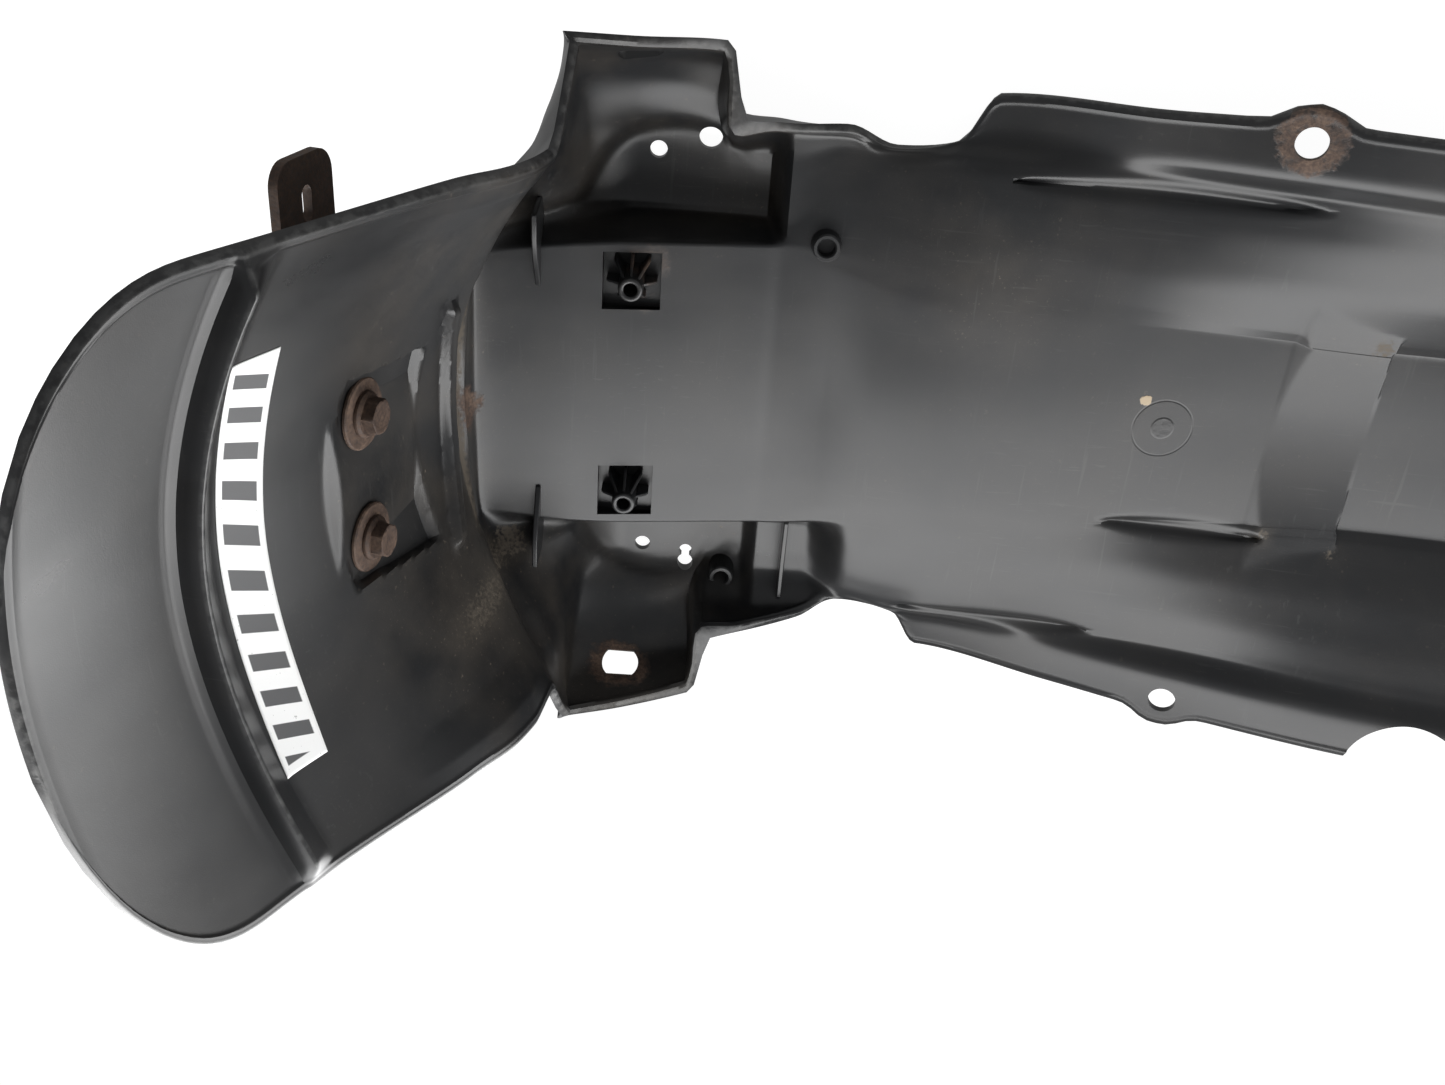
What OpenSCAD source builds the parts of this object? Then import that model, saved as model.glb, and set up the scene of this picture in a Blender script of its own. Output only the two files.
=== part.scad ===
// Rear fender of a motorcycle, lying on its outer face with the wheel side up.
// One moulded shell: a scoop at the tail, a raised panel between two gutters with
// wings, and a channel with fixing flanges towards the front. A slotted steel strip
// is bolted behind the scoop. Millimetres, +X towards the front, +Z up.

/* [Shell] */
// thickness of the moulded wall
wall_t = 3; // [2.6:0.1:3.4]
// height of the scoop over its foot, along its slope
scoop_l = 183; // [172:1:192]
// length of the channel from the neck to the front end
channel_l = 214; // [206:1:224]
// half the width over the rims of the scoop
tail_w = 94; // [90:0.5:97]
// half the width of the raised panel
panel_w = 53.5; // [52:0.25:55]
// half the width over the rims of the wings
wing_w = 120.5; // [118:0.5:124]
// half the width over the flanges
flange_w = 110; // [108:0.5:112]
// depth of the gutters below the panel
gutter_d = 28; // [24:0.5:31]
// height of the scoop sides over its middle line
scoop_h = 47.8; // [44:0.4:50]
// nose-down angle at which the shell rests on the ground
lay_a = 9; // [8:0.5:10]

/* [Splash rib] */
// height of the rib across the scoop
rib_h = 8; // [5:0.5:10]

/* [Bolt pad] */
// half the width of the flat pad
pad_w = 33; // [30:0.5:36]
// length of the pad along the scoop
pad_l = 32; // [28:0.5:34]
// half the distance between the two bolts
bolt_y = 20.8; // [19:0.2:22]
// clearance of the bolts in their holes
bolt_gap = 0.3; // [0.2:0.05:0.5]

/* [Bosses] */
// half the distance between the two ribbed bosses
boss_y = 40; // [39:0.25:41]
// outside radius of a ribbed boss
boss_r = 4.2; // [3.8:0.1:4.6]
// radius of the screw hole in a ribbed boss
screw_r = 2.4; // [2:0.1:2.8]
// depth of the square pocket round a boss
pocket_d = 5; // [4:0.25:6]

/* [Flange holes] */
// radius of the frame fixing holes
fix_r = 5; // [4.5:0.1:5.5]
// radius of the flat seat round a fixing hole
seat_r = 11; // [10:0.25:12]
// distance of the fixing holes forward of the bosses
fix_x = 205.8; // [203:0.4:208]
// half the distance between the fixing holes
fix_y = 104.2; // [103:0.2:105]
// radius of the round cut-outs in the flange edges
notch_r = 21; // [19:0.5:22]

/* [Steel parts] */
// thickness of the slotted strip
strip_t = 3; // [2:0.25:4]
// width of the slotted strip
strip_w = 28; // [24:0.5:30]
// half the length of the slotted strip
strip_l = 95; // [92:0.5:98]
// half the distance between the slots
slot_y = 81.7; // [80:0.2:83]
// radius of the bolt shanks
bolt_r = 3; // [2.5:0.1:3]
// outside radius of the washers
washer_r = 11; // [10:0.25:12]
// thickness of the washers
washer_t = 1.6; // [1.2:0.1:2]

/* [Hidden] */

black = [0.05, 0.05, 0.052];
rusty = [0.38, 0.25, 0.17];
steel = [0.45, 0.36, 0.28];
white = [0.86, 0.86, 0.84];

// share of the half width and of the side height at each of nine points of a scoop section
scoop_f = [0, 0.22, 0.40, 0.56, 0.70, 0.81, 0.90, 0.96, 1];
function scoop(w, h) = [for (f = scoop_f) [w * f, h * pow(f, 1.9)]];

// gutter section: panel edge, gutter wall, floor, dish, wing wall and rim
function gutter(d, w, hw, hr) = [
    [0, 0], [panel_w - 7, 0], [panel_w, 0], [panel_w + 3, 3 - d], [panel_w + 6.5, -d],
    [84, -d], [103, 13 - d], [w - 6, hw], [w, hr]];

// channel section: middle, crest of the side band, trough, shoulder, root and flange
function channel(a, c, d, e, f, g, hg, h) = [
    [0, 0], [a, 0.5], [a + 4, c], [55, d], [72, e], [82, f], [87, g], [93, hg],
    [flange_w, h]];

// stations along the middle line: length along it, x, z, lean of the height direction,
// nine points of half width and height, and where they differ those of the other side
flat_low = [[0, 0], [47, 0], [panel_w, 0], [56.5, -11], [60, -12], [72, -12], [82, -11],
    [91, -1], [92.5, 8.5]];
foot = [-62, 14];
sk = scoop_l / 183;
ck = channel_l / 214;
neck_x = 116;
STATIONS = [
    [0, foot[0] - 66 * sk, foot[1] + 170 * sk, 14, scoop(tail_w, 25)],
    [35, foot[0] - 57.5 * sk, foot[1] + 136 * sk, 17, scoop(tail_w, 31)],
    [62, foot[0] - 50 * sk, foot[1] + 110 * sk, 20, scoop(tail_w, 38)],
    [126, foot[0] - 22 * sk, foot[1] + 52 * sk, 25.8, scoop(tail_w + 1.5, scoop_h)],
    [183, foot[0], foot[1], 50, scoop(tail_w + 0.5, scoop_h + 11.2)],
    [192, -57.5, 6, 42.7, scoop(tail_w - 0.5, scoop_h + 3.1)],
    [197.5, -55, 1, 38.7, [[0, 0], [30, 2], [48, 5], [60, 10], [72, 19], [82, 28], [90, 36],
        [98, 41], [107, 48]]],
    [203, -52, -3.7, 31.8, [[0, 0], [42, 0], [48, 0.5], [58, 4], [70, 15], [82, 27], [92, 34],
        [106, 37], [wing_w, 42.3]]],
    [236, -18.5, -8, 90, [[0, 0], [46, 0], [panel_w - 1, 0], [56, -14], [62, -20], [84, -19],
        [102, -6], [114, 8], [wing_w, 25.5]]],
    [255, 0, -10.3, 90, gutter(gutter_d, wing_w - 1.2, 0, 22)],
    [281, 26, -13.6, 90, [[0, 0], [panel_w - 6.5, 0], [panel_w, 0], [56.5, 6 - gutter_d],
        [60, 4 - gutter_d], [80, 4 - gutter_d], [97, -20], [112, -6], [117.6, 14]]],
    [287, 32, -14.4, 90, [[0, 0], [47, 0], [panel_w, 0], [56.5, -21], [60, -23], [72, -23],
        [82, -22], [93, -4], [94, 12.4]]],
    [300, 45, -16, 90, [[0, 0], [47, 0], [panel_w, 0], [56.5, -18], [60, -20], [72, -20],
        [82, -18], [91.5, -4], [93, 9.6]]],
    [306, 51, -16.8, 90, [[0, 0], [47, 0], [panel_w, 0], [56.5, -1], [60, -2], [72, -2], [82, -2],
        [91, -1], [92.5, 8.5]], flat_low],
    [323, 68, -17, 90, [[0, 0], [45, 1], [52, 0.8], [60, 0], [72, -1], [80, -2], [86, -2.5],
        [90, -2], [92, 2]], [[0, 0], [45, 1], [52, 0.8], [56.5, -11], [61, -12], [72, -12],
        [82, -11], [89, -3], [91.5, 2]]],
    [340, 85, -12, 90, [[0, 0], [40, -0.3], [50, -0.8], [60, -1.5], [72, -3], [80, -4.5],
        [83, -5.5], [86, -7], [87.5, -9]]],
    [361, 105, -8, 90, [[0, 0], [37, -0.3], [46, -0.7], [60, -1.5], [74, -3], [82, -4.5],
        [86.5, -6], [90, -10.5], [91.5, -11]]],
    [372, neck_x, -6.5, 90, [[0, 0], [37, -0.2], [46, -0.4], [60, -1], [74, -2], [83, -3],
        [87, -5.5], [92.5, -13], [flange_w - 3.8, -13.5]]],
    [421, neck_x + 49 * ck, -5, 90, [[0, 0], [37, 0], [44, 0], [56, 0.3], [72, 0], [83, -0.5],
        [87.5, -1], [93, 2], [flange_w - 2, 3]]],
    [461, neck_x + 89 * ck, -4.5, 90, channel(36, 2, 6, 8, 8, 8, 16, 16.5)],
    [518, neck_x + 146 * ck, -1, 90, channel(34, 3.5, 13, 19, 22, 24, 31, 33)],
    [587, neck_x + channel_l, 9, 90, channel(34, 4, 16, 25, 29, 32, 39, 41)]];
SN = len(STATIONS);
S = [for (st = STATIONS) st[0]];

// seventeen rails from rim to rim, each a list of points over the stations
function side(st, k) = k < 0 && len(st) > 5 ? st[5] : st[4];
RAILS = [for (st = STATIONS) [for (k = [-8:8])
    let (p = side(st, k)[abs(k)])
    [st[1] + p[1] * cos(st[3]), sign(k) * p[0], st[2] + p[1] * sin(st[3])]]];

function unit(v) = v / max(norm(v), 1e-9);
CELLS = [for (i = [0:SN - 2]) [for (j = [0:15])
    unit(cross(RAILS[i + 1][j + 1] - RAILS[i][j], RAILS[i][j + 1] - RAILS[i + 1][j]))]];
function sum3(v, i = 0) = i == len(v) ? [0, 0, 0] : v[i] + sum3(v, i + 1);
function mean(v) = sum3([for (x = v) [x, 0, 0]])[0] / len(v);
// the outer face: each rail point moved back so that the wall keeps its thickness
BACKS = [for (i = [0:SN - 1]) [for (j = [0:16])
    let (ns = [for (a = [i - 1:i]) for (b = [j - 1:j])
            if (a >= 0 && a < SN - 1 && b >= 0 && b < 16) CELLS[a][b]],
        n = unit(sum3(ns)),
        k = mean([for (q = ns) max(0, n * q)]))
    RAILS[i][j] - n * wall_t / max(k, 0.62)]];

// smooth curve through the stations that never overshoots them
function slope1(a, b, h, g) = a * b > 0 ? 3 * (h + g) / ((2 * g + h) / a + (g + 2 * h) / b) : 0;
function slopes(R) = [for (i = [0:SN - 1]) [for (j = [0:16]) [for (c = [0:2])
    let (a = i == 0 ? 0 : (R[i][j][c] - R[i - 1][j][c]) / (S[i] - S[i - 1]),
        b = i == SN - 1 ? 0 : (R[i + 1][j][c] - R[i][j][c]) / (S[i + 1] - S[i]))
    i == 0 ? b : i == SN - 1 ? a : slope1(a, b, S[i] - S[i - 1], S[i + 1] - S[i])]]];
function rail_row(R, M, s) =
    let (i = min(SN - 2, max([for (k = [0:SN - 2]) if (S[k] <= s) k])),
        h = S[i + 1] - S[i], t = (s - S[i]) / h, u = t * t, v = u * t)
    [for (j = [0:16]) R[i][j] * (2 * v - 3 * u + 1) + M[i][j] * h * (v - 2 * u + t)
        + R[i + 1][j] * (3 * u - 2 * v) + M[i + 1][j] * h * (v - u)];
// the end of the scoop is rounded off over its last 46 mm
tip_l = 46;
function tip(s) = s >= tip_l ? 1 : pow(1 - pow(1 - s / tip_l, 2.9), 1 / 2.9);
function tipped(r, w) = [for (p = r) let (o = p - r[8])
    r[8] + [o[0] * pow(w, 1.9), o[1] * w, o[2] * pow(w, 1.9)]];
// each inner rail is rounded over a quarter of the way to its neighbours
round_b = 0.25;
function across(r) = [for (j = [0:16])
    each j == 0 || j == 16 ? [r[j]] : [
        r[j] + round_b * (r[j - 1] - r[j]),
        r[j] / 2 + (r[j - 1] + r[j + 1] - 2 * r[j]) * round_b / 4 + r[j] / 2,
        r[j] + round_b * (r[j + 1] - r[j])]];
function sheet(R, rows) = let (M = slopes(R))
    [for (s = rows) across(tipped(rail_row(R, M, s), tip(s)))];

ROWS = [0.3, 3, 9, 20, 34, 46, 55, 59.5, 62, 63.6, 73, 75, 80, 85, 94, 110, 126, 143, 160, 176, 187,
    192, 197.5, 203, 214, 225, 236, 246, 255, 268, 281, 287, 293.5, 300, 306, 314, 323, 331, 340,
    350, 361, 372, 396, 421, 441, 461, 490, 518, 552, 587];
NR = len(ROWS);
INNER0 = sheet(RAILS, ROWS);
OUTER = sheet(BACKS, ROWS);
NC = len(INNER0[0]);
NORMALS = [for (i = [0:NR - 1]) [for (j = [0:NC - 1])
    unit(cross(INNER0[min(i + 1, NR - 1)][j] - INNER0[max(i - 1, 0)][j],
        INNER0[i][min(j + 1, NC - 1)] - INNER0[i][max(j - 1, 0)]))]];
// the splash rib stands on the wheel side, steep towards the tail, sloping to the front
rib_rows = [[0, 0], [55, 0], [59.5, rib_h * 0.12], [62, rib_h], [63.6, rib_h * 0.97], [73, 0], [600, 0]];
INNER = [for (i = [0:NR - 1]) [for (j = [0:NC - 1])
    INNER0[i][j] + NORMALS[i][j] * lookup(ROWS[i], rib_rows)
        * (j == 0 || j == NC - 1 ? 0.15 : j == 1 || j == NC - 2 ? 0.75 : 1)]];

// closed solid between two sheets of points
function skin(o, nr, nc, flip) = [for (i = [0:nr - 2]) for (j = [0:nc - 2])
    let (a = o + i * nc + j, b = a + nc, c = b + 1, d = a + 1)
    each flip ? [[a, c, b], [a, d, c]] : [[a, b, c], [a, c, d]]];
function edge(l, o, flip) = [for (i = [0:len(l) - 2]) let (a = l[i], b = l[i + 1])
    each flip ? [[a, b + o, b], [a, a + o, b + o]] : [[a, b, b + o], [a, b + o, a + o]]];
function slab_faces(nr, nc) = let (o = nr * nc) concat(
    skin(0, nr, nc, true), skin(o, nr, nc, false),
    edge([for (j = [0:nc - 1]) j], o, true),
    edge([for (j = [0:nc - 1]) (nr - 1) * nc + j], o, false),
    edge([for (i = [0:nr - 1]) i * nc], o, false),
    edge([for (i = [0:nr - 1]) i * nc + nc - 1], o, true));
module slab(top, bottom) {
    polyhedron(
        points = concat([for (r = top) each r], [for (r = bottom) each r]),
        faces = slab_faces(len(top), len(top[0])));
}

// laid down: turned nose-down and moved so that the ground is z = 0
LAID = [for (r = concat(INNER, OUTER)) for (p = r)
    [p[0] * cos(lay_a) + p[2] * sin(lay_a), p[2] * cos(lay_a) - p[0] * sin(lay_a)]];
move_x = -(min([for (p = LAID) p[0]]) + max([for (p = LAID) p[0]])) / 2;
move_z = -min([for (p = LAID) p[1]]);
module laid() {
    translate([move_x, 0, move_z])
        rotate([0, lay_a, 0])
            children();
}

// the bolt pad faces forward and up by pad_a
pad_a = 26;
pad_at = [foot[0] - 13 * sk, 0, foot[1] + 51.4 * sk];
pad_rise = 8;
back_d = pad_rise + wall_t + 0.5;
module at_pad() {
    translate(pad_at)
        rotate([0, 90 - pad_a, 0])
            children();
}
module each_bolt() {
    for (k = [-1, 1])
        translate([0, k * bolt_y, 0])
            children();
}
module each_side() {
    children();
    mirror([0, 1, 0])
        children();
}

// height of the panel over its own length
function panel_z(x) = -10.3 - 0.127 * x;
boss_x = 0;
pocket_x = 9.8;
pocket_y0 = boss_y - 10.4;
pocket_y1 = boss_y + 9.6;

// square pocket with its box behind, to be added and then cut
module pocket_box() {
    translate([-pocket_x - 2, pocket_y0 - 2, panel_z(0) - pocket_d - 2.6])
        cube([2 * pocket_x + 4, pocket_y1 - pocket_y0 + 4, pocket_d + 1.4]);
}
module pocket_cut() {
    translate([-pocket_x, pocket_y0, panel_z(0) - pocket_d])
        cube([2 * pocket_x, pocket_y1 - pocket_y0, pocket_d + 6]);
}
module boss() {
    translate([boss_x, boss_y, panel_z(0) - pocket_d - 0.5])
        cylinder(r = boss_r, h = pocket_d + 0.5 - panel_z(0), $fn = 48);
    for (a = [30:60:330])
        translate([boss_x, boss_y, panel_z(0) - pocket_d - 0.5])
            rotate([0, 0, a])
                translate([boss_r - 0.8, -0.6, 0])
                    cube([4.4, 1.2, pocket_d + 5]);
}
module boss_hole() {
    translate([boss_x, boss_y, -11])
        cylinder(r = screw_r, h = 12, $fn = 40);
}

// thin gusset standing on the panel edge at the tail end of a gutter
module gusset() {
    translate([-31, 0, 0])
        rotate([90, 0, 90])
            translate([0, 0, -1])
                linear_extrude(2)
                    polygon([[37, -8.5], [39, -3.5], [49, 3], [57, 5.6], [65, 5.6],
                        [66, -24], [52, -24], [52, -8.5]]);
}

// bar across the foot of the scoop, standing out of it by half its thickness
ridge_w = 6.8;
ridge_t = 6.2;
ridge_half = panel_w - 6.5;
module ridge_bar() {
    translate([foot[0] + 5.4, 0, foot[1] - 3])
        rotate([0, 42, 0])
            translate([-ridge_w / 2, -ridge_half, -ridge_t / 2])
                cube([ridge_w, 2 * ridge_half, ridge_t]);
}

// round screw boss standing in a gutter
low_boss_at = [37.8, -84.1];
low_boss_z = -26;
low_boss_h = 11;
low_boss_hole = 2.75;
high_boss_at = [64.4, panel_w + 1];
high_boss_z = -12.5;
high_boss_h = 7;
high_boss_hole = 3;
boss_wall = 2.1;
module screw_boss(at, top, r, h) {
    translate([at[0], at[1], top - h])
        cylinder(r = r + boss_wall, h = h, $fn = 40);
}

// round holes in the gutter floors: one for drainage on each side, and a round hole on
// one side and a keyhole on the other for cable clips
hole_top = 2 - gutter_d;
hole_h = 18;
drain_at = [6.4, 77.2];
drain_r = 3;
clip_at = [23.9, 82.6];
clip_r = 4;
key_at = [23.5, -79];
key_r = 2.5;
module hole(at, top, r, h) {
    translate([at[0], at[1], top - h])
        cylinder(r = r, h = h, $fn = 40);
}

// flat seat of a frame fixing hole, square to the sloping flange
fix_a = -19;
fix_z = 12 + 0.35 * (fix_x - 205.8);
seat_low = 3.8;
seat_high = 1;
module at_fix() {
    translate([fix_x, fix_y, fix_z])
        rotate([0, fix_a, 0])
            children();
}
// oblong hole for a turn signal in the wing wall
sig_at = [0.5, wing_w - 8.5, -6];
sig_a = 42;
module at_sig() {
    translate(sig_at)
        rotate([sig_a, 0, 0])
            children();
}
module oblong(l, w, h) {
    linear_extrude(h)
        intersection() {
            circle(d = l, $fn = 48);
            square([l + 1, w], center = true);
        }
}

module fender() {
    color(black)
        laid()
            difference() {
                union() {
                    slab(INNER, OUTER);
                    at_pad()
                        translate([0, 0, -pad_rise - 0.6])
                            linear_extrude(pad_rise + 0.6, scale = [0.94, 0.97])
                                square([pad_l, 2 * pad_w], center = true);
                    at_pad()
                        each_bolt()
                            translate([0, 0, -back_d])
                                cylinder(r = 8, h = back_d - 1, $fn = 40);
                    ridge_bar();
                    each_side()
                        pocket_box();
                    each_side()
                        boss();
                    each_side()
                        gusset();
                    each_side()
                        at_fix()
                            translate([0, 0, -seat_low])
                                cylinder(r = seat_r, h = seat_low + seat_high, $fn = 64);
                    screw_boss(low_boss_at, low_boss_z, low_boss_hole, low_boss_h);
                    screw_boss(high_boss_at, high_boss_z, high_boss_hole, high_boss_h);
                }
                each_side()
                    difference() {
                        pocket_cut();
                        boss();
                    }
                each_side()
                    boss_hole();
                at_pad()
                    each_bolt()
                        translate([0, 0, -back_d - 4])
                            cylinder(r = bolt_r + bolt_gap, h = back_d + 8, $fn = 40);
                each_side()
                    at_fix()
                        translate([0, 0, -8])
                            cylinder(r = fix_r, h = 16, $fn = 48);
                each_side()
                    at_sig()
                        translate([0, 0, -9])
                            oblong(14, 10, 18);
                each_side()
                    hole(drain_at, hole_top, drain_r, hole_h);
                hole(clip_at, hole_top, clip_r, hole_h);
                hole(key_at, hole_top, key_r, hole_h);
                hole(key_at - [0, 4.6], hole_top, key_r + 0.5, hole_h);
                hole(low_boss_at, low_boss_z + 6, low_boss_hole, low_boss_h + 4);
                hole(high_boss_at, high_boss_z + 1, high_boss_hole, high_boss_h);
                each_side()
                    translate([neck_x + 173 * ck, flange_w + 4, 0])
                        cylinder(r = notch_r, h = 90, $fn = 64);
            }
}

module rounded(w, l, r) {
    square([w - 2 * r, l], center = true);
    square([w, l - 2 * r], center = true);
    for (i = [-1, 1])
        for (j = [-1, 1])
            translate([i * (w / 2 - r), j * (l / 2 - r)])
                circle(r = r, $fn = 48);
}

// slot of the strip, long across the fender
module slot() {
    for (k = [-1, 1])
        translate([0, 2.5 * k, 0])
            cylinder(r = 2.5, h = strip_t + 2, $fn = 32);
    translate([-2.5, -2.5, 0])
        cube([5, 5, strip_t + 2]);
}

module strip() {
    color(rusty)
        laid()
            at_pad()
                translate([0, 0, -back_d - strip_t])
                    difference() {
                        linear_extrude(strip_t)
                            rounded(strip_w, 2 * strip_l, 7);
                        each_bolt()
                            translate([0, 0, -1])
                                cylinder(r = bolt_r + bolt_gap, h = strip_t + 2, $fn = 40);
                        for (k = [-1, 1])
                            translate([0, k * slot_y, -1])
                                slot();
                    }
}

module bolt() {
    translate([0, 0, washer_t])
        cylinder(r = 7, h = 1.8, $fn = 48);
    translate([0, 0, washer_t + 1.4])
        cylinder(r = 5.8, h = 4.4, $fn = 6);
    translate([0, 0, -back_d - strip_t - 7])
        cylinder(r = bolt_r, h = back_d + strip_t + 9 + washer_t, $fn = 40);
}
module bolts() {
    color(steel)
        laid()
            at_pad()
                each_bolt()
                    bolt();
}

module washers() {
    color(rusty)
        laid()
            at_pad()
                each_bolt()
                    difference() {
                        cylinder(r = washer_r, h = washer_t, $fn = 64);
                        translate([0, 0, -1])
                            cylinder(r = bolt_r + bolt_gap, h = washer_t + 2, $fn = 40);
                    }
}

module nuts() {
    color(steel)
        laid()
            at_pad()
                each_bolt()
                    translate([0, 0, -back_d - strip_t - 5])
                        difference() {
                            cylinder(r = 5.8, h = 5, $fn = 6);
                            translate([0, 0, -1])
                                cylinder(r = bolt_r, h = 7, $fn = 40);
                        }
}

// white film stuck to the front face of the rib, on the same grid as the shell
DEC = [for (i = [0:NR - 1]) if (ROWS[i] > 74 && ROWS[i] < 86) i];
dec_a = 13;
dec_b = 39;
module decal() {
    color(white)
        laid()
            slab(
                [for (i = DEC) [for (j = [dec_a:dec_b]) INNER[i][j] + NORMALS[i][j] * 0.4]],
                [for (i = DEC) [for (j = [dec_a:dec_b]) INNER[i][j]]]);
}

fender();
strip();
bolts();
washers();
nuts();
decal();
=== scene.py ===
"""Rear fender of a motorcycle: a black moulded shell lying on its outer face.

All sizes are in millimetres in the fender's own axes, X towards the front, Y across
and Z towards the wheel; lay() turns them into the frame's metres.
"""
import math

import bpy
import numpy as np
from mathutils import Matrix


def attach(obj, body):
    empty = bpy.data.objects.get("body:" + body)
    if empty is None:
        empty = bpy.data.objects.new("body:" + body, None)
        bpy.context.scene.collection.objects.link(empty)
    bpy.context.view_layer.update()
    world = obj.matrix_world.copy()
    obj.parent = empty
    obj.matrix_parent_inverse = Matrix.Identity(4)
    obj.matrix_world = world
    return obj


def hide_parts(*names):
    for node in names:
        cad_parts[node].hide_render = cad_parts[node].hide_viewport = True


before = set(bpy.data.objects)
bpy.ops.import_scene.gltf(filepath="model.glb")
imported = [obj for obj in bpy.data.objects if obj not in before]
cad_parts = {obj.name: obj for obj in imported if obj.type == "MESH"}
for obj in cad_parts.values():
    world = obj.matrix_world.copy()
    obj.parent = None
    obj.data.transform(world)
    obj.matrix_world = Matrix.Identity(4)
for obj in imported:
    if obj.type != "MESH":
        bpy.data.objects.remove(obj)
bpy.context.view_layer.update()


# Moulded shell. One wall of black polypropylene, about 3 mm thick, moulded in one shot:
# scoop at the tail, raised panel, two gutters with wings, and a channel with flanges.
LAY_ANGLE = math.radians(9.0)
MOVE = np.array([-116.733, 0.0, 45.812])
WALL = 3.0
TAIL_HALF, SCOOP_HEIGHT = 94.0, 47.8
PANEL_HALF, WING_HALF, FLANGE_HALF = 53.5, 120.5, 110.0
GUTTER_DEPTH = 28.0
TIP_LENGTH, TIP_POWER = 46.0, 2.9
SCOOP_SHARE = np.array([0, 0.22, 0.40, 0.56, 0.70, 0.81, 0.90, 0.96, 1.0])


def lay(points):
    """Fender axes in mm to the frame's metres: a turn about Y, then a shift."""
    x, y, z = points[..., 0], points[..., 1], points[..., 2]
    c, s = math.cos(LAY_ANGLE), math.sin(LAY_ANGLE)
    return (np.stack([x * c + z * s, y, z * c - x * s], -1) + MOVE) / 1000


def unit(vectors):
    """Each vector over its own length."""
    return vectors / (np.linalg.norm(vectors, axis=-1, keepdims=True) + 1e-12)


def ramp(values, start, end):
    """Smooth step 3t^2 - 2t^3 of t, which runs from 0 at start to 1 at end."""
    t = np.clip((values - start) / (end - start), 0, 1)
    return t * t * (3 - 2 * t)


def scoop(half_width, height, floor=0.0):
    """Scoop section: from its floor, the height grows with the 1.9th power of the share
    of the width."""
    return [(half_width * f, floor + (height - floor) * f ** 1.9) for f in SCOOP_SHARE]


LOW_SHELF = [(0, 0), (47, 0), (PANEL_HALF, 0), (56.5, -11), (60, -12), (72, -12), (82, -11),
             (91, -1), (92.5, 8.5)]
LOW_RAMP = [(0, 0), (45, 1), (52, 0.8), (56.5, -11), (61, -12), (72, -12), (82, -11),
            (89, -3), (91.5, 2)]
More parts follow.
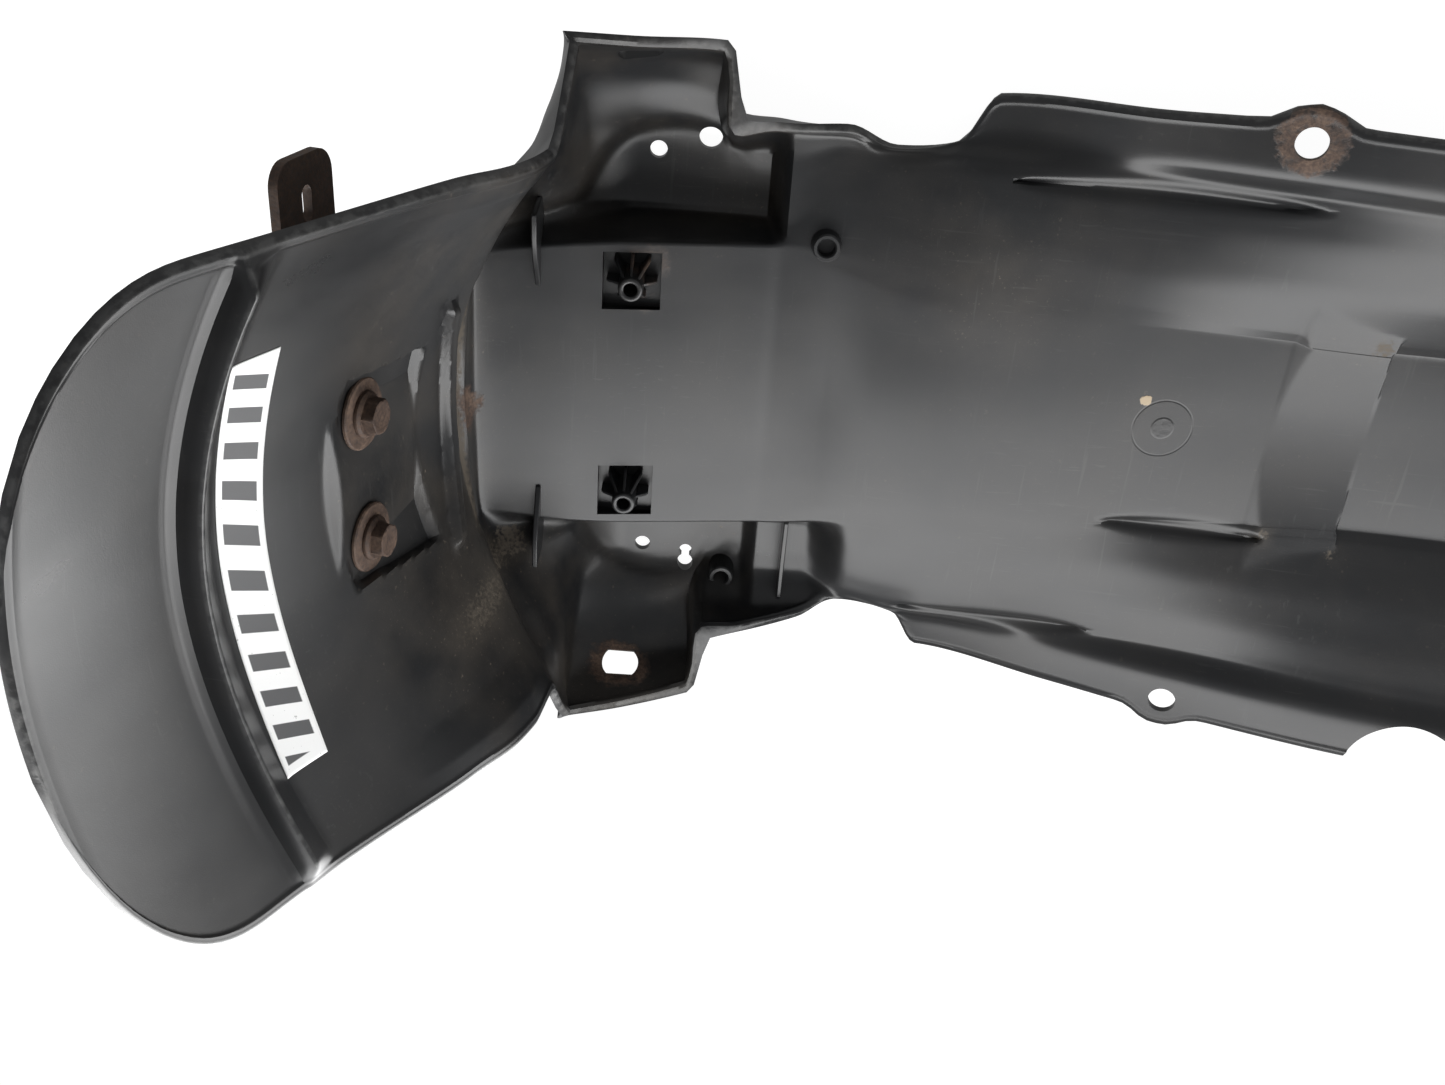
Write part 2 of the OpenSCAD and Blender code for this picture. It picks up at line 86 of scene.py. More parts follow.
# way along the middle line, its x and z, lean of the height direction, half section
STATIONS = [
    (0, -128, 184, 14, scoop(TAIL_HALF, 25, 1)),
    (35, -119.5, 150, 17, scoop(TAIL_HALF, 31, 4)),
    (62, -112, 124, 20, scoop(TAIL_HALF, 38, 6)),
    (126, -84, 66, 25.8, scoop(TAIL_HALF + 1.5, SCOOP_HEIGHT, 7)),
    (183, -62, 14, 50, scoop(TAIL_HALF + 0.5, SCOOP_HEIGHT + 11.2, 2)),
    (192, -57.5, 6, 42.7, scoop(TAIL_HALF - 0.5, SCOOP_HEIGHT + 3.1)),
    (197.5, -55, 1, 38.7, [(0, 0), (30, 2), (48, 5), (60, 10), (72, 19), (82, 28), (90, 36),
                           (98, 41), (107, 48)]),
    (203, -52, -3.7, 31.8, [(0, 0), (42, 0), (48, 0.5), (58, 4), (70, 15), (82, 27), (92, 34),
                            (106, 37), (WING_HALF, 42.3)]),
    (236, -18.5, -8, 90, [(0, 0), (46, 0), (PANEL_HALF - 1, 0), (56, -14), (62, -20), (84, -19),
                          (102, -6), (114, 8), (WING_HALF, 25.5)]),
    (255, 0, -10.3, 90, [(0, 0), (PANEL_HALF - 7, 0), (PANEL_HALF, 0), (56.5, 3 - GUTTER_DEPTH),
                         (60, -GUTTER_DEPTH), (84, -GUTTER_DEPTH), (103, 13 - GUTTER_DEPTH),
                         (113.3, 0), (WING_HALF - 1.2, 22)]),
    (281, 26, -13.6, 90, [(0, 0), (47, 0), (PANEL_HALF, 0), (56.5, 6 - GUTTER_DEPTH),
                          (60, 4 - GUTTER_DEPTH), (80, 4 - GUTTER_DEPTH), (97, -20), (112, -6),
                          (117.6, 14)]),
    (287, 32, -14.4, 90, [(0, 0), (47, 0), (PANEL_HALF, 0), (56.5, -21), (60, -23), (72, -23),
                          (82, -22), (93, -4), (94, 12.4)]),
    (300, 45, -16, 90, [(0, 0), (47, 0), (PANEL_HALF, 0), (56.5, -18), (60, -20), (72, -20),
                        (82, -18), (91.5, -4), (93, 9.6)]),
    (306, 51, -16.8, 90, [(0, 0), (47, 0), (PANEL_HALF, 0), (56.5, -1), (60, -2), (72, -2),
                          (82, -2), (91, -1), (92.5, 8.5)], LOW_SHELF),
    (323, 68, -17, 90, [(0, 0), (45, 1), (52, 0.8), (60, 0), (72, -1), (80, -2), (86, -2.5),
                        (90, -2), (92, 2)], LOW_RAMP),
    (340, 85, -12, 90, [(0, 0), (40, -0.3), (50, -0.8), (60, -1.5), (72, -3), (80, -4.5),
                        (83, -5.5), (86, -7), (87.5, -9)]),
    (361, 105, -8, 90, [(0, 0), (37, -0.3), (46, -0.7), (60, -1.5), (74, -3), (82, -4.5),
                        (86.5, -6), (90, -10.5), (91.5, -11)]),
    (372, 116, -6.5, 90, [(0, 0), (37, -0.2), (46, -0.4), (60, -1), (74, -2), (83, -3),
                          (87, -5.5), (92.5, -13), (FLANGE_HALF - 3.8, -13.5)]),
    (421, 165, -5, 90, [(0, 0), (37, 0), (44, 0), (56, 0.3), (72, 0), (83, -0.5), (87.5, -1),
                        (93, 2), (FLANGE_HALF - 2, 3)]),
    (461, 205, -4.5, 90, [(0, 0), (36, 0.5), (40, 2), (55, 6), (72, 8), (82, 8), (87, 8),
                          (93, 16), (FLANGE_HALF, 16.5)]),
    (518, 262, -1, 90, [(0, 0), (34, 0.5), (38, 3.5), (55, 13), (72, 19), (82, 22), (87, 24),
                        (93, 31), (FLANGE_HALF, 33)]),
    (587, 330, 9, 90, [(0, 0), (34, 0.5), (38, 4), (55, 16), (72, 25), (82, 29), (87, 32),
                       (93, 39), (FLANGE_HALF, 41)]),
]
WAY = np.array([row[0] for row in STATIONS], float)


def rails():
    """Seventeen lines from rim to rim through the stations' section points."""
    rows = []
    for _, x, z, lean, *halves in STATIONS:
        left, right = np.array(halves[0], float), np.array(halves[-1], float)
        y = np.concatenate([-right[:0:-1, 0], left[:, 0]])
        h = np.concatenate([right[:0:-1, 1], left[:, 1]])
        lean = math.radians(lean)
        rows.append(np.stack([x + h * math.cos(lean), y, z + h * math.sin(lean)], -1))
    return np.array(rows)


def back_rails(front, wall):
    """Rails of the outer face: each point moved back by the wall over the mean cosine
    between its own normal and those of the cells round it."""
    cells = unit(np.cross(front[1:, 1:] - front[:-1, :-1], front[:-1, 1:] - front[1:, :-1]))
    padded = np.pad(cells, ((1, 1), (1, 1), (0, 0)))
    four = np.stack([padded[:-1, :-1], padded[1:, :-1], padded[:-1, 1:], padded[1:, 1:]])
    normal = unit(four.sum(0))
    there = np.linalg.norm(four, axis=-1) > 0.5
    cosine = (np.clip((four * normal).sum(-1), 0, None) * there).sum(0) / there.sum(0)
    return front - normal * (wall / np.maximum(cosine, 0.72))[..., None]


def along(lines, way):
    """Monotone cubic through the stations: slopes are weighted harmonic means."""
    gap = np.diff(WAY)[:, None, None]
    step = np.diff(lines, axis=0) / gap
    before, after = step[:-1], step[1:]
    near, far = 2 * gap[1:] + gap[:-1], gap[1:] + 2 * gap[:-1]
    same = before * after > 0
    slope = np.zeros_like(lines)
    slope[0], slope[-1] = step[0], step[-1]
    slope[1:-1][same] = ((near + far) / (near / np.where(same, before, 1)
                                         + far / np.where(same, after, 1)))[same]
    i = np.clip(np.searchsorted(WAY, way, side="right") - 1, 0, len(WAY) - 2)
    g = (WAY[i + 1] - WAY[i])[:, None, None]
    t = ((way - WAY[i])[:, None, None]) / g
    return (lines[i] * (2 * t ** 3 - 3 * t ** 2 + 1) + slope[i] * g * (t ** 3 - 2 * t ** 2 + t)
            + lines[i + 1] * (3 * t ** 2 - 2 * t ** 3) + slope[i + 1] * g * (t ** 3 - t ** 2))


def sheet(lines, way, cross, rounding):
    """Surface over (way, cross): along the rails, straight between them, with each
    rail rounded by a parabola over a share of the way to its neighbours. The tip's
    half width follows (1 - (1 - s / tip)^p)^(1/p)."""
    p = along(lines, way)
    w = (1 - (1 - np.clip(way / TIP_LENGTH, 0, 1)) ** TIP_POWER) ** (1 / TIP_POWER)
    middle = p[:, 8:9]
    p = middle + (p - middle) * np.stack([w ** 1.9, w, w ** 1.9], -1)[:, None, :]
    k = np.clip(np.round(cross + 8).astype(int), 0, 16)
    d = (cross + 8 - k)[None, :, None]
    b = rounding[:, k, None]
    here, up, down = p[:, k], p[:, np.minimum(k + 1, 16)], p[:, np.maximum(k - 1, 0)]
    straight = np.where(d > 0, here + d * (up - here), here - d * (down - here))
    t = (d + b) / (2 * b)
    bend = ((here + b * (down - here)) * (1 - t) ** 2 + 2 * here * t * (1 - t)
            + (here + b * (up - here)) * t ** 2)
    inside = (np.abs(d) < b) & ((k > 0) & (k < 16))[None, :, None]
    return np.where(inside, bend, straight)


def normals(grid):
    """Unit normals of a grid towards the wheel side."""
    return unit(np.cross(np.gradient(grid, axis=0), np.gradient(grid, axis=1)))


def spread(knots, spacing):
    """Values from knot to knot, each stretch cut evenly into steps near its spacing."""
    parts = [np.linspace(a, b, max(2, int(round((b - a) / step)) + 1))[:-1]
             for a, b, step in zip(knots[:-1], knots[1:], spacing)]
    return np.concatenate(parts + [[knots[-1]]])


def odd(values):
    """The same values, with the middle of the widest gap added if their number is even."""
    if len(values) % 2:
        return values
    i = np.argmax(np.diff(values))
    return np.insert(values, i + 1, (values[i] + values[i + 1]) / 2)


# knots along the fender and across it, and the grid's steps between them, which are short
# where the rib, the pad, the foot of the scoop and the edges of the channel's band are
WAY_KNOTS = [0.3, 3, 12, 44, 50, 72, 108, 166, 178, 192, 345, 420, 478, 490, 510, 518, 587]
WAY_STEPS = [0.7, 1.5, 2.2, 1.6, 0.7, 1.8, 1.1, 1.8, 0.9, 1.25, 1.9, 3.2, 0.9, 2.5, 0.8, 3.6]
CROSS_KNOTS = [0, 0.9, 1.08, 1.7, 2.3, 3, 4, 7, 7.7, 8]
CROSS_STEPS = [1 / 18, 1 / 45, 1 / 12, 1 / 16, 1 / 9, 1 / 10, 1 / 9, 1 / 12, 1 / 26]
# share of the way to its neighbours over which a rail is rounded: at most rails, at the
# panel's edges, at the channel's crests and on the scoop, where the roundings meet
ROUNDING, EDGE_ROUNDING, CREST_ROUNDING, SCOOP_ROUNDING = 0.25, 0.17, 0.06, 0.5
EAR_WAY, EAR_HALF, EAR_RISE = 461.5, 9.0, 5.5

ways = odd(spread(WAY_KNOTS, WAY_STEPS))
half_cross = spread(CROSS_KNOTS, CROSS_STEPS)
crosses = np.concatenate([-half_cross[:0:-1], half_cross])
rounding = np.full((len(ways), 17), ROUNDING)
rounding[:, [6, 10]] = EDGE_ROUNDING
rounding[:, [7, 9]] -= (ROUNDING - CREST_ROUNDING) * ramp(ways, 400, 440)[:, None]
rounding += (SCOOP_ROUNDING - rounding) * ramp(ways, 199, 187)[:, None]
front_rails = rails()
inner = sheet(front_rails, ways, crosses, rounding)
outer = sheet(back_rails(front_rails, WALL), ways, crosses, rounding)
# the flanges bulge into round ears beside the holes for the frame's screws
ear = EAR_RISE * np.exp(-((np.abs(ways - EAR_WAY) / EAR_HALF) ** 3))[:, None]
ear = ear * ramp(np.abs(crosses), 7.1, 8) * np.sign(crosses)
inner[..., 1] += ear
outer[..., 1] += ear
inward = normals(inner)
X, Y, Z = inner[..., 0], inner[..., 1], inner[..., 2]
S, C = np.meshgrid(ways, crosses, indexing="ij")

# profile of the rib along the middle line; the pad's plane, half width, skew of its sides
# and ends; and the bar, seam and lip between the scoop and the panel
RIB_WAY = [50.5, 53, 55.2, 56.5, 57.3, 58.2, 68, 70, 71.5]
RIB_RISE = [0, 0.3, 1.6, 7.2, 8, 7.9, 0.5, 0.1, 0]
PAD_TILT = math.radians(16)
PAD_AT = np.array([-75, 0, 65.4])
PAD_AXIS = np.array([math.cos(PAD_TILT), 0, math.sin(PAD_TILT)])
PAD_DOWN = np.array([math.sin(PAD_TILT), 0, -math.cos(PAD_TILT)])
PAD_HALF, PAD_SKEW, PAD_START, PAD_END = 34, 0.12, -13, 33
RIDGE_START, RIDGE_END, RIDGE_HALF, RIDGE_RISE, RIDGE_BOW = 182.5, 188.3, 43.5, 3.0, 6.5
SEAM_WAY, SEAM_HALF, SEAM_DEPTH = 192.4, 1.7, 1.6
LIP_WAY, LIP_HALF, LIP_RISE = 195.8, 1.2, 0.7
DISH_AT, DISH_RADIUS, DISH_RISE = (14, 54), 34, 3.0
SIDE_RISE = 1.8


def relief():
    """Rise of the wheel side over the plain sheet: the rib by its profile along the
    middle line, the pad, and the ridge bar, seam and lip at the foot of the scoop. The pad
    is a plane: its sides cut into the sheet where that lies higher, and slope down to it
    elsewhere. The gutters' floors rise round a circle about the panel's corner, and the
    sides of the scoop bulge a little towards its foot."""
    rib = np.interp(S, RIB_WAY, RIB_RISE) * (1 - 0.9 * ramp(np.abs(C), 6.5, 7.9))
    to_plane = ((PAD_AT - inner) @ PAD_AXIS) / np.maximum(inward @ PAD_AXIS, 0.3)
    way_on = (inner - PAD_AT) @ PAD_DOWN
    side = PAD_HALF - np.abs(Y + PAD_SKEW * (way_on - 7))
    from_tail, to_foot = way_on - PAD_START, PAD_END - way_on
    room = np.minimum(np.minimum(4 * side, 4 * from_tail), 1.05 * to_foot)
    rise = np.minimum(np.minimum(1.5 * (side + 1), 0.45 * (from_tail + 5)), to_foot)
    pad = np.where(S < 175, np.clip(to_plane, -np.clip(room, 0, None), np.clip(rise, 0, None)), 0)
    straight = S + RIDGE_BOW * (Y / RIDGE_HALF) ** 2
    ridge = RIDGE_RISE * ramp(straight, RIDGE_START - 1.6, RIDGE_START + 1.4)
    ridge = ridge * ramp(straight, RIDGE_END + 1.5, RIDGE_END - 1.3)
    ridge = ridge * ramp(np.abs(Y), RIDGE_HALF + 1, RIDGE_HALF - 3)
    foot = LIP_RISE * np.exp(-((S - LIP_WAY) / LIP_HALF) ** 2)
    foot = foot - SEAM_DEPTH * np.exp(-((S - SEAM_WAY) / SEAM_HALF) ** 4)
    foot = foot * ramp(np.abs(Y), 47, 43)
    past = np.hypot(X - DISH_AT[0], np.abs(Y) - DISH_AT[1]) - DISH_RADIUS
    dish = DISH_RISE * ramp(past, -3.5, 4.5) * ramp(past, 26, 6) * ramp(np.abs(Y), 58, 66)
    dish = dish * ramp(S, 205, 222) * ramp(S, 300, 284)
    share = np.abs(C)
    bulge = np.clip(np.minimum((share - 5.2) / 1.3, (8 - share) / 1.5), 0, 1)
    bulge = SIDE_RISE * bulge * ramp(S, 96, 140) * ramp(S, 192, 184)
    return rib + pad + ridge + foot + dish + bulge


# lens-shaped grooves: x from and to, and y at those ends; the band's way from and to, its
# rise beside the crests, and the slopes of its two walls
GROOVES = [(123, 217, 81.8, 82.2), (105, 176, -84.5, -85.5), (174, 231, -38.2, -39.4)]
GROOVE_HALF, GROOVE_DEPTH = 2.6, 2.2
BAND, BAND_RISE, BAND_HALF, BAND_SLOPES = (481, 514), 5.2, 42.0, (0.6, 2.2)
ROLL_WIDTH, BEAD_AT, BEAD_HALF, BEAD_RISE = 1.2, 2.3, 0.6, 0.4


def channel_relief():
    """Rise over the channel: slim lens-shaped grooves on the sides, and the band between
    the two sunk fields, a shallow trough across with one slanting and one steep wall."""
    side = np.abs(Y)
    groove = np.zeros_like(X)
    for start, end, y0, y1 in GROOVES:
        t = np.clip((X - start) / (end - start), 0, 1)
        centre = y0 + (y1 - y0) * t
        half = GROOVE_HALF * np.sqrt(np.clip(4 * t * (1 - t), 0.0, 1)) + 1e-3
        groove -= GROOVE_DEPTH * np.exp(-((Y - centre) / half) ** 2) * (half > 0.3)
    over_middle = Z - Z[:, [Z.shape[1] // 2]]
    cross = np.clip(BAND_RISE * (side / BAND_HALF) ** 2 - over_middle, 0, None)
    walls = np.minimum(BAND_SLOPES[0] * (S - BAND[0]), BAND_SLOPES[1] * (BAND[1] - S))
    return groove + np.clip(np.minimum(cross, walls), 0, None) * ramp(side, 52, 46)


# distance from the rim in mm, by which its edge is rolled over and has a fine bead
step_at_rim = np.linalg.norm(inner[:, -1] - inner[:, -3], axis=-1)[:, None]
rim_gap = (8 - np.abs(C)) * step_at_rim / (8 - crosses[-3])
from_rim = np.minimum(rim_gap, S - WAY_KNOTS[0])
roll = ROLL_WIDTH * (1 - np.sqrt(1 - np.clip(1 - from_rim / ROLL_WIDTH, 0, 1) ** 2))
bead = BEAD_RISE * np.exp(-((from_rim - BEAD_AT) / BEAD_HALF) ** 2)
inner = inner + inward * (relief() + channel_relief() + bead - roll)[..., None]


def grid_faces(rows, columns, first=0):
    """Quads of a grid of points, counter-clockwise from the wheel side."""
    at = np.arange(rows * columns).reshape(rows, columns) + first
    return np.stack([at[:-1, :-1], at[1:, :-1], at[1:, 1:], at[:-1, 1:]], -1).reshape(-1, 4)


def make_mesh(name, points, face_lists):
    """Mesh of points in metres; every face list is an array of equal-sided faces."""
    corners = np.concatenate([f.ravel() for f in face_lists])
    sizes = np.concatenate([np.full(len(f), f.shape[1]) for f in face_lists])
    mesh = bpy.data.meshes.new(name)
    mesh.vertices.add(len(points))
    mesh.vertices.foreach_set("co", np.ascontiguousarray(points, np.float32).ravel())
    mesh.loops.add(len(corners))
    mesh.loops.foreach_set("vertex_index", corners.astype(np.int32))
    mesh.polygons.add(len(sizes))
    starts = np.concatenate([[0], np.cumsum(sizes)[:-1]])
    mesh.polygons.foreach_set("loop_start", starts.astype(np.int32))
    mesh.update(calc_edges=True)
    mesh.validate()
    return mesh


def add_piece(name, mesh, material, slot, *nodes):
    """An object with this mesh, riding on the root body in place of these nodes."""
    piece = bpy.data.objects.new(name, mesh)
    bpy.context.scene.collection.objects.link(piece)
    mesh.materials.append(material)
    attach(piece, "root")
    if nodes:
        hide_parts(*nodes)
    return piece


def smooth(mesh, degrees):
    """Smooth shading that breaks at edges sharper than this angle."""
    mesh.polygons.foreach_set("use_smooth", np.ones(len(mesh.polygons), bool))
    mesh.set_sharp_from_angle(angle=math.radians(degrees))


def rim_faces(fine, coarse, flip):
    """Triangles between a fine border and one with half as many points."""
    a, m, b = fine[:-2:2], fine[1:-1:2], fine[2::2]
    p, q = coarse[:-1], coarse[1:]
    faces = np.concatenate([np.stack(t, -1) for t in ((a, m, p), (m, q, p), (m, b, q))])
    return faces[:, ::-1] if flip else faces


def shell_mesh():
    """Closed shell: the fine wheel side, every second point of the outer face, and
    triangles round the rim."""
    rows, columns = inner.shape[:2]
    rear = outer[::2, ::2]
    r, c = rear.shape[:2]
    first = rows * columns
    front_at = np.arange(first).reshape(rows, columns)
    rear_at = np.arange(r * c).reshape(r, c) + first
    rims = np.concatenate([
        rim_faces(front_at[0], rear_at[0], False), rim_faces(front_at[-1], rear_at[-1], True),
        rim_faces(front_at[:, 0], rear_at[:, 0], True),
        rim_faces(front_at[:, -1], rear_at[:, -1], False)])
    points = lay(np.concatenate([inner.reshape(-1, 3), rear.reshape(-1, 3)]))
    return make_mesh("fender", points, [grid_faces(rows, columns),
                                        grid_faces(r, c, first)[:, ::-1], rims])


def prism(outline, low, high, place=np.eye(3), shift=(0, 0, 0)):
    """Closed prism over a closed outline, from low to high, turned and moved."""
    outline = np.asarray(outline, float)
    n = len(outline)
    ends = [np.column_stack([outline, np.full(n, z)]) for z in (low, high)]
    points = np.concatenate(ends) @ np.asarray(place).T + np.asarray(shift, float)
    i = np.arange(n)
    j = (i + 1) % n
    return points, [np.stack([i, j, j + n, i + n], -1)], [i[::-1][None], (i + n)[None]]


def circle(radius, segments=48, centre=(0, 0)):
    """Points round a circle."""
    a = np.arange(segments) * 2 * math.pi / segments
    return np.column_stack([centre[0] + radius * np.cos(a), centre[1] + radius * np.sin(a)])


def join(parts):
    """One set of points and faces out of several prisms."""
    points, quads, caps, first = [], [], [], 0
    for p, sides, ends in parts:
        points.append(p)
        quads += [f + first for f in sides]
        caps += [f + first for f in ends]
        first += len(p)
    return np.concatenate(points), quads, caps


def tilt_y(degrees):
    """Turn about Y that leans Z towards +X."""
    a = math.radians(degrees)
    return np.array([[math.cos(a), 0, math.sin(a)], [0, 1, 0], [-math.sin(a), 0, math.cos(a)]])


def tilt_x(degrees):
    """Turn about X that leans Z towards -Y."""
    a = math.radians(degrees)
    return np.array([[1, 0, 0], [0, math.cos(a), -math.sin(a)], [0, math.sin(a), math.cos(a)]])


def oblong(length, width, segments=40):
    """Circle of the length with two flats the width apart."""
    p = circle(length / 2, segments)
    p[:, 1] = np.clip(p[:, 1], -width / 2, width / 2)
    return p


# pockets of the bosses, holes of the frame's screws, of the turn signals and of the bolts,
# round cut-outs of the flanges, and the small holes of the gutters' floors
BOSS_Y, POCKET_HALF, POCKET_DEPTH = 40.0, 9.8, 5.0
POCKET_Y = (29.6, 49.6)
FIX_AT, FIX_TILT, FIX_RADIUS = np.array([205.8, 104.2, 12.0]), -19, 5.0
SIGNAL_AT, SIGNAL_TILT = np.array([0.5, 112.0, -6.0]), 42
SIGNAL_LENGTH, SIGNAL_WIDTH = 14, 10
BOLT_Y, BOLT_RADIUS, BOLT_GAP, BOLT_HOLE_TILT = 20.8, 3.0, 0.3, 64
NOTCH_X, NOTCH_OUT, NOTCH_RADIUS = 289.0, 4.0, 21.0
DRAIN_AT, DRAIN_RADIUS = (6.4, 77.2), 3.0
CLIP_AT, CLIP_RADIUS = (23.9, 82.6), 4.0
KEYHOLE = [((23.5, -79), 2.5), ((23.5, -83.6), 3.0)]


def hole_cutters():
    """Prisms through the shell for its holes, pockets and round cut-outs."""
    cuts = []
    for side in (1, -1):
        cuts.append(prism([(-POCKET_HALF, side * POCKET_Y[0]), (POCKET_HALF, side * POCKET_Y[0]),
                           (POCKET_HALF, side * POCKET_Y[1]),
                           (-POCKET_HALF, side * POCKET_Y[1])][::side], -22, 2))
        cuts.append(prism(circle(FIX_RADIUS), -9, 9, tilt_y(FIX_TILT), FIX_AT * [1, side, 1]))
        cuts.append(prism(oblong(SIGNAL_LENGTH, SIGNAL_WIDTH), -9, 9,
                          tilt_x(SIGNAL_TILT * side), SIGNAL_AT * [1, side, 1]))
        cuts.append(prism(circle(DRAIN_RADIUS, 32, (DRAIN_AT[0], side * DRAIN_AT[1])), -48, -25))
        notch_at = (NOTCH_X, side * (FLANGE_HALF + NOTCH_OUT))
        cuts.append(prism(circle(NOTCH_RADIUS, 96, notch_at), 0, 90))
        cuts.append(prism(circle(BOLT_RADIUS + BOLT_GAP, 32), -25, 12, tilt_y(BOLT_HOLE_TILT),
                          PAD_AT + [0, side * BOLT_Y, 0]))
    cuts.append(prism(circle(CLIP_RADIUS, 36, CLIP_AT), -48, -25))
    (slot_at, slot_radius), (eye_at, eye_radius) = KEYHOLE
    cuts.append(prism(circle(slot_radius, 28, slot_at), -48, -25))
    cuts.append(prism(circle(eye_radius, 30, eye_at), -47, -24))
    return join(cuts)


def cut(mesh, cutters):
    """The mesh less the cutters, with Blender's exact boolean."""
    points, quads, caps = cutters
    tools = bpy.data.objects.new("tools", make_mesh("tools", lay(points), quads + caps))
    base = bpy.data.objects.new("base", mesh)
    for o in (tools, base):
        bpy.context.scene.collection.objects.link(o)
    change = base.modifiers.new("holes", "BOOLEAN")
    change.operation, change.solver, change.object = "DIFFERENCE", "EXACT", tools
    change.use_self = True
    bpy.context.view_layer.update()
    done = bpy.data.meshes.new_from_object(
        base.evaluated_get(bpy.context.evaluated_depsgraph_get()))
    for o in (tools, base):
        bpy.data.objects.remove(o)
    return done


def feed(nodes, value, socket):
    """Link another socket to this one, or set it to a number or a colour."""
    if isinstance(value, bpy.types.NodeSocket):
        nodes.id_data.links.new(value, socket)
    else:
        socket.default_value = (*value, 1.0) if isinstance(value, tuple) else value


def noise(nodes, vector, scale, detail=4.0, roughness=0.55):
    """Noise texture on a vector, from 0 to 1."""
    n = nodes.new("ShaderNodeTexNoise")
    n.inputs["Scale"].default_value = scale
    n.inputs["Detail"].default_value = detail
    n.inputs["Roughness"].default_value = roughness
    feed(nodes, vector, n.inputs["Vector"])
    return n.outputs["Fac"]


def spread_to(nodes, value, low, high, to_low=0.0, to_high=1.0):
    """Map of a value's stretch onto another, clamped."""
    m = nodes.new("ShaderNodeMapRange")
    m.inputs["From Min"].default_value, m.inputs["From Max"].default_value = low, high
    m.inputs["To Min"].default_value, m.inputs["To Max"].default_value = to_low, to_high
    feed(nodes, value, m.inputs["Value"])
    return m.outputs["Result"]


def combine(nodes, kind, a, b):
    """Math node of two values, each a socket or a number."""
    m = nodes.new("ShaderNodeMath")
    m.operation = kind
    feed(nodes, a, m.inputs[0])
    feed(nodes, b, m.inputs[1])
    return m.outputs[0]


def blend(nodes, share, a, b):
    """Mix of two colours by a share, each colour a socket or a triple."""
    m = nodes.new("ShaderNodeMix")
    m.data_type = "RGBA"
    feed(nodes, share, m.inputs["Factor"])
    feed(nodes, a, m.inputs[6])
    feed(nodes, b, m.inputs[7])
    return m.outputs[2]


def stretch(nodes, vector, scale):
    """The vector scaled axis by axis."""
    m = nodes.new("ShaderNodeMapping")
    m.inputs["Scale"].default_value = scale
    feed(nodes, vector, m.inputs["Vector"])
    return m.outputs["Vector"]


def new_group(name, inputs, outputs):
    """Shader node group with these float inputs and these outputs."""
    group = bpy.data.node_groups.new(name, "ShaderNodeTree")
    group.interface.new_socket("Vector", in_out="INPUT", socket_type="NodeSocketVector")
    for label, value in inputs:
        s = group.interface.new_socket(label, in_out="INPUT", socket_type="NodeSocketFloat")
        s.default_value = value
    for label, kind in outputs:
        group.interface.new_socket(label, in_out="OUTPUT", socket_type=kind)
    return (group, group.nodes, group.nodes.new("NodeGroupInput").outputs,
            group.nodes.new("NodeGroupOutput").inputs)


def dust_group():
    """Grit: fine pale specks over soft patches of settled dust."""
    group, nodes, given, out = new_group("settled_dust", [("Amount", 0.5)],
                                         [("Mask", "NodeSocketFloat")])
    patches = spread_to(nodes, noise(nodes, given["Vector"], 28, 5), 0.42, 0.72)
    specks = spread_to(nodes, noise(nodes, given["Vector"], 1100, 2), 0.66, 0.74)
    coarse = spread_to(nodes, noise(nodes, given["Vector"], 420, 2), 0.70, 0.76)
    both = combine(nodes, "MAXIMUM", combine(nodes, "MULTIPLY", specks, 0.7), coarse)
    film = combine(nodes, "MULTIPLY", patches, 0.35)
    grit = combine(nodes, "MULTIPLY", both, combine(nodes, "ADD", patches, 0.25))
    all_dust = combine(nodes, "MULTIPLY", combine(nodes, "ADD", film, grit), given["Amount"])
    group.links.new(spread_to(nodes, all_dust, 0, 1), out["Mask"])
    return group


def scratch_group():
    """Hairline scratches: noise drawn out along each of two directions."""
    group, nodes, given, out = new_group("hairlines", [("Amount", 0.5)],
                                         [("Mask", "NodeSocketFloat")])
    lines = [spread_to(nodes, noise(nodes, stretch(nodes, given["Vector"], s), 1, 3), 0.63, 0.70)
             for s in ((14, 900, 700), (500, 22, 600))]
    patchy = spread_to(nodes, noise(nodes, given["Vector"], 22, 3), 0.45, 0.65)
    mask = combine(nodes, "MULTIPLY", combine(nodes, "MAXIMUM", *lines), patchy)
    group.links.new(combine(nodes, "MULTIPLY", mask, given["Amount"]), out["Mask"])
    return group


def rust_group():
    """Rust: brown, orange and dark patches of several sizes, with a lumpy height."""
    group, nodes, given, out = new_group("rust", [("Amount", 1.0)], [
        ("Color", "NodeSocketColor"), ("Rough", "NodeSocketFloat"), ("Height", "NodeSocketFloat")])
    broad = noise(nodes, given["Vector"], 160, 5, 0.6)
    fine = noise(nodes, given["Vector"], 900, 4, 0.65)
    dark = blend(nodes, spread_to(nodes, fine, 0.35, 0.65), (0.034, 0.021, 0.016),
                 (0.080, 0.049, 0.034))
    light = blend(nodes, spread_to(nodes, fine, 0.4, 0.7), (0.080, 0.050, 0.036),
                  (0.165, 0.108, 0.074))
    mix = combine(nodes, "MULTIPLY", spread_to(nodes, broad, 0.38, 0.62), given["Amount"])
    group.links.new(blend(nodes, mix, dark, light), out["Color"])
    group.links.new(spread_to(nodes, fine, 0.3, 0.7, 0.55, 0.9), out["Rough"])
    group.links.new(combine(nodes, "ADD", broad, combine(nodes, "MULTIPLY", fine, 0.4)),
                    out["Height"])
    return group


DUST, HAIRLINES, RUST = dust_group(), scratch_group(), rust_group()


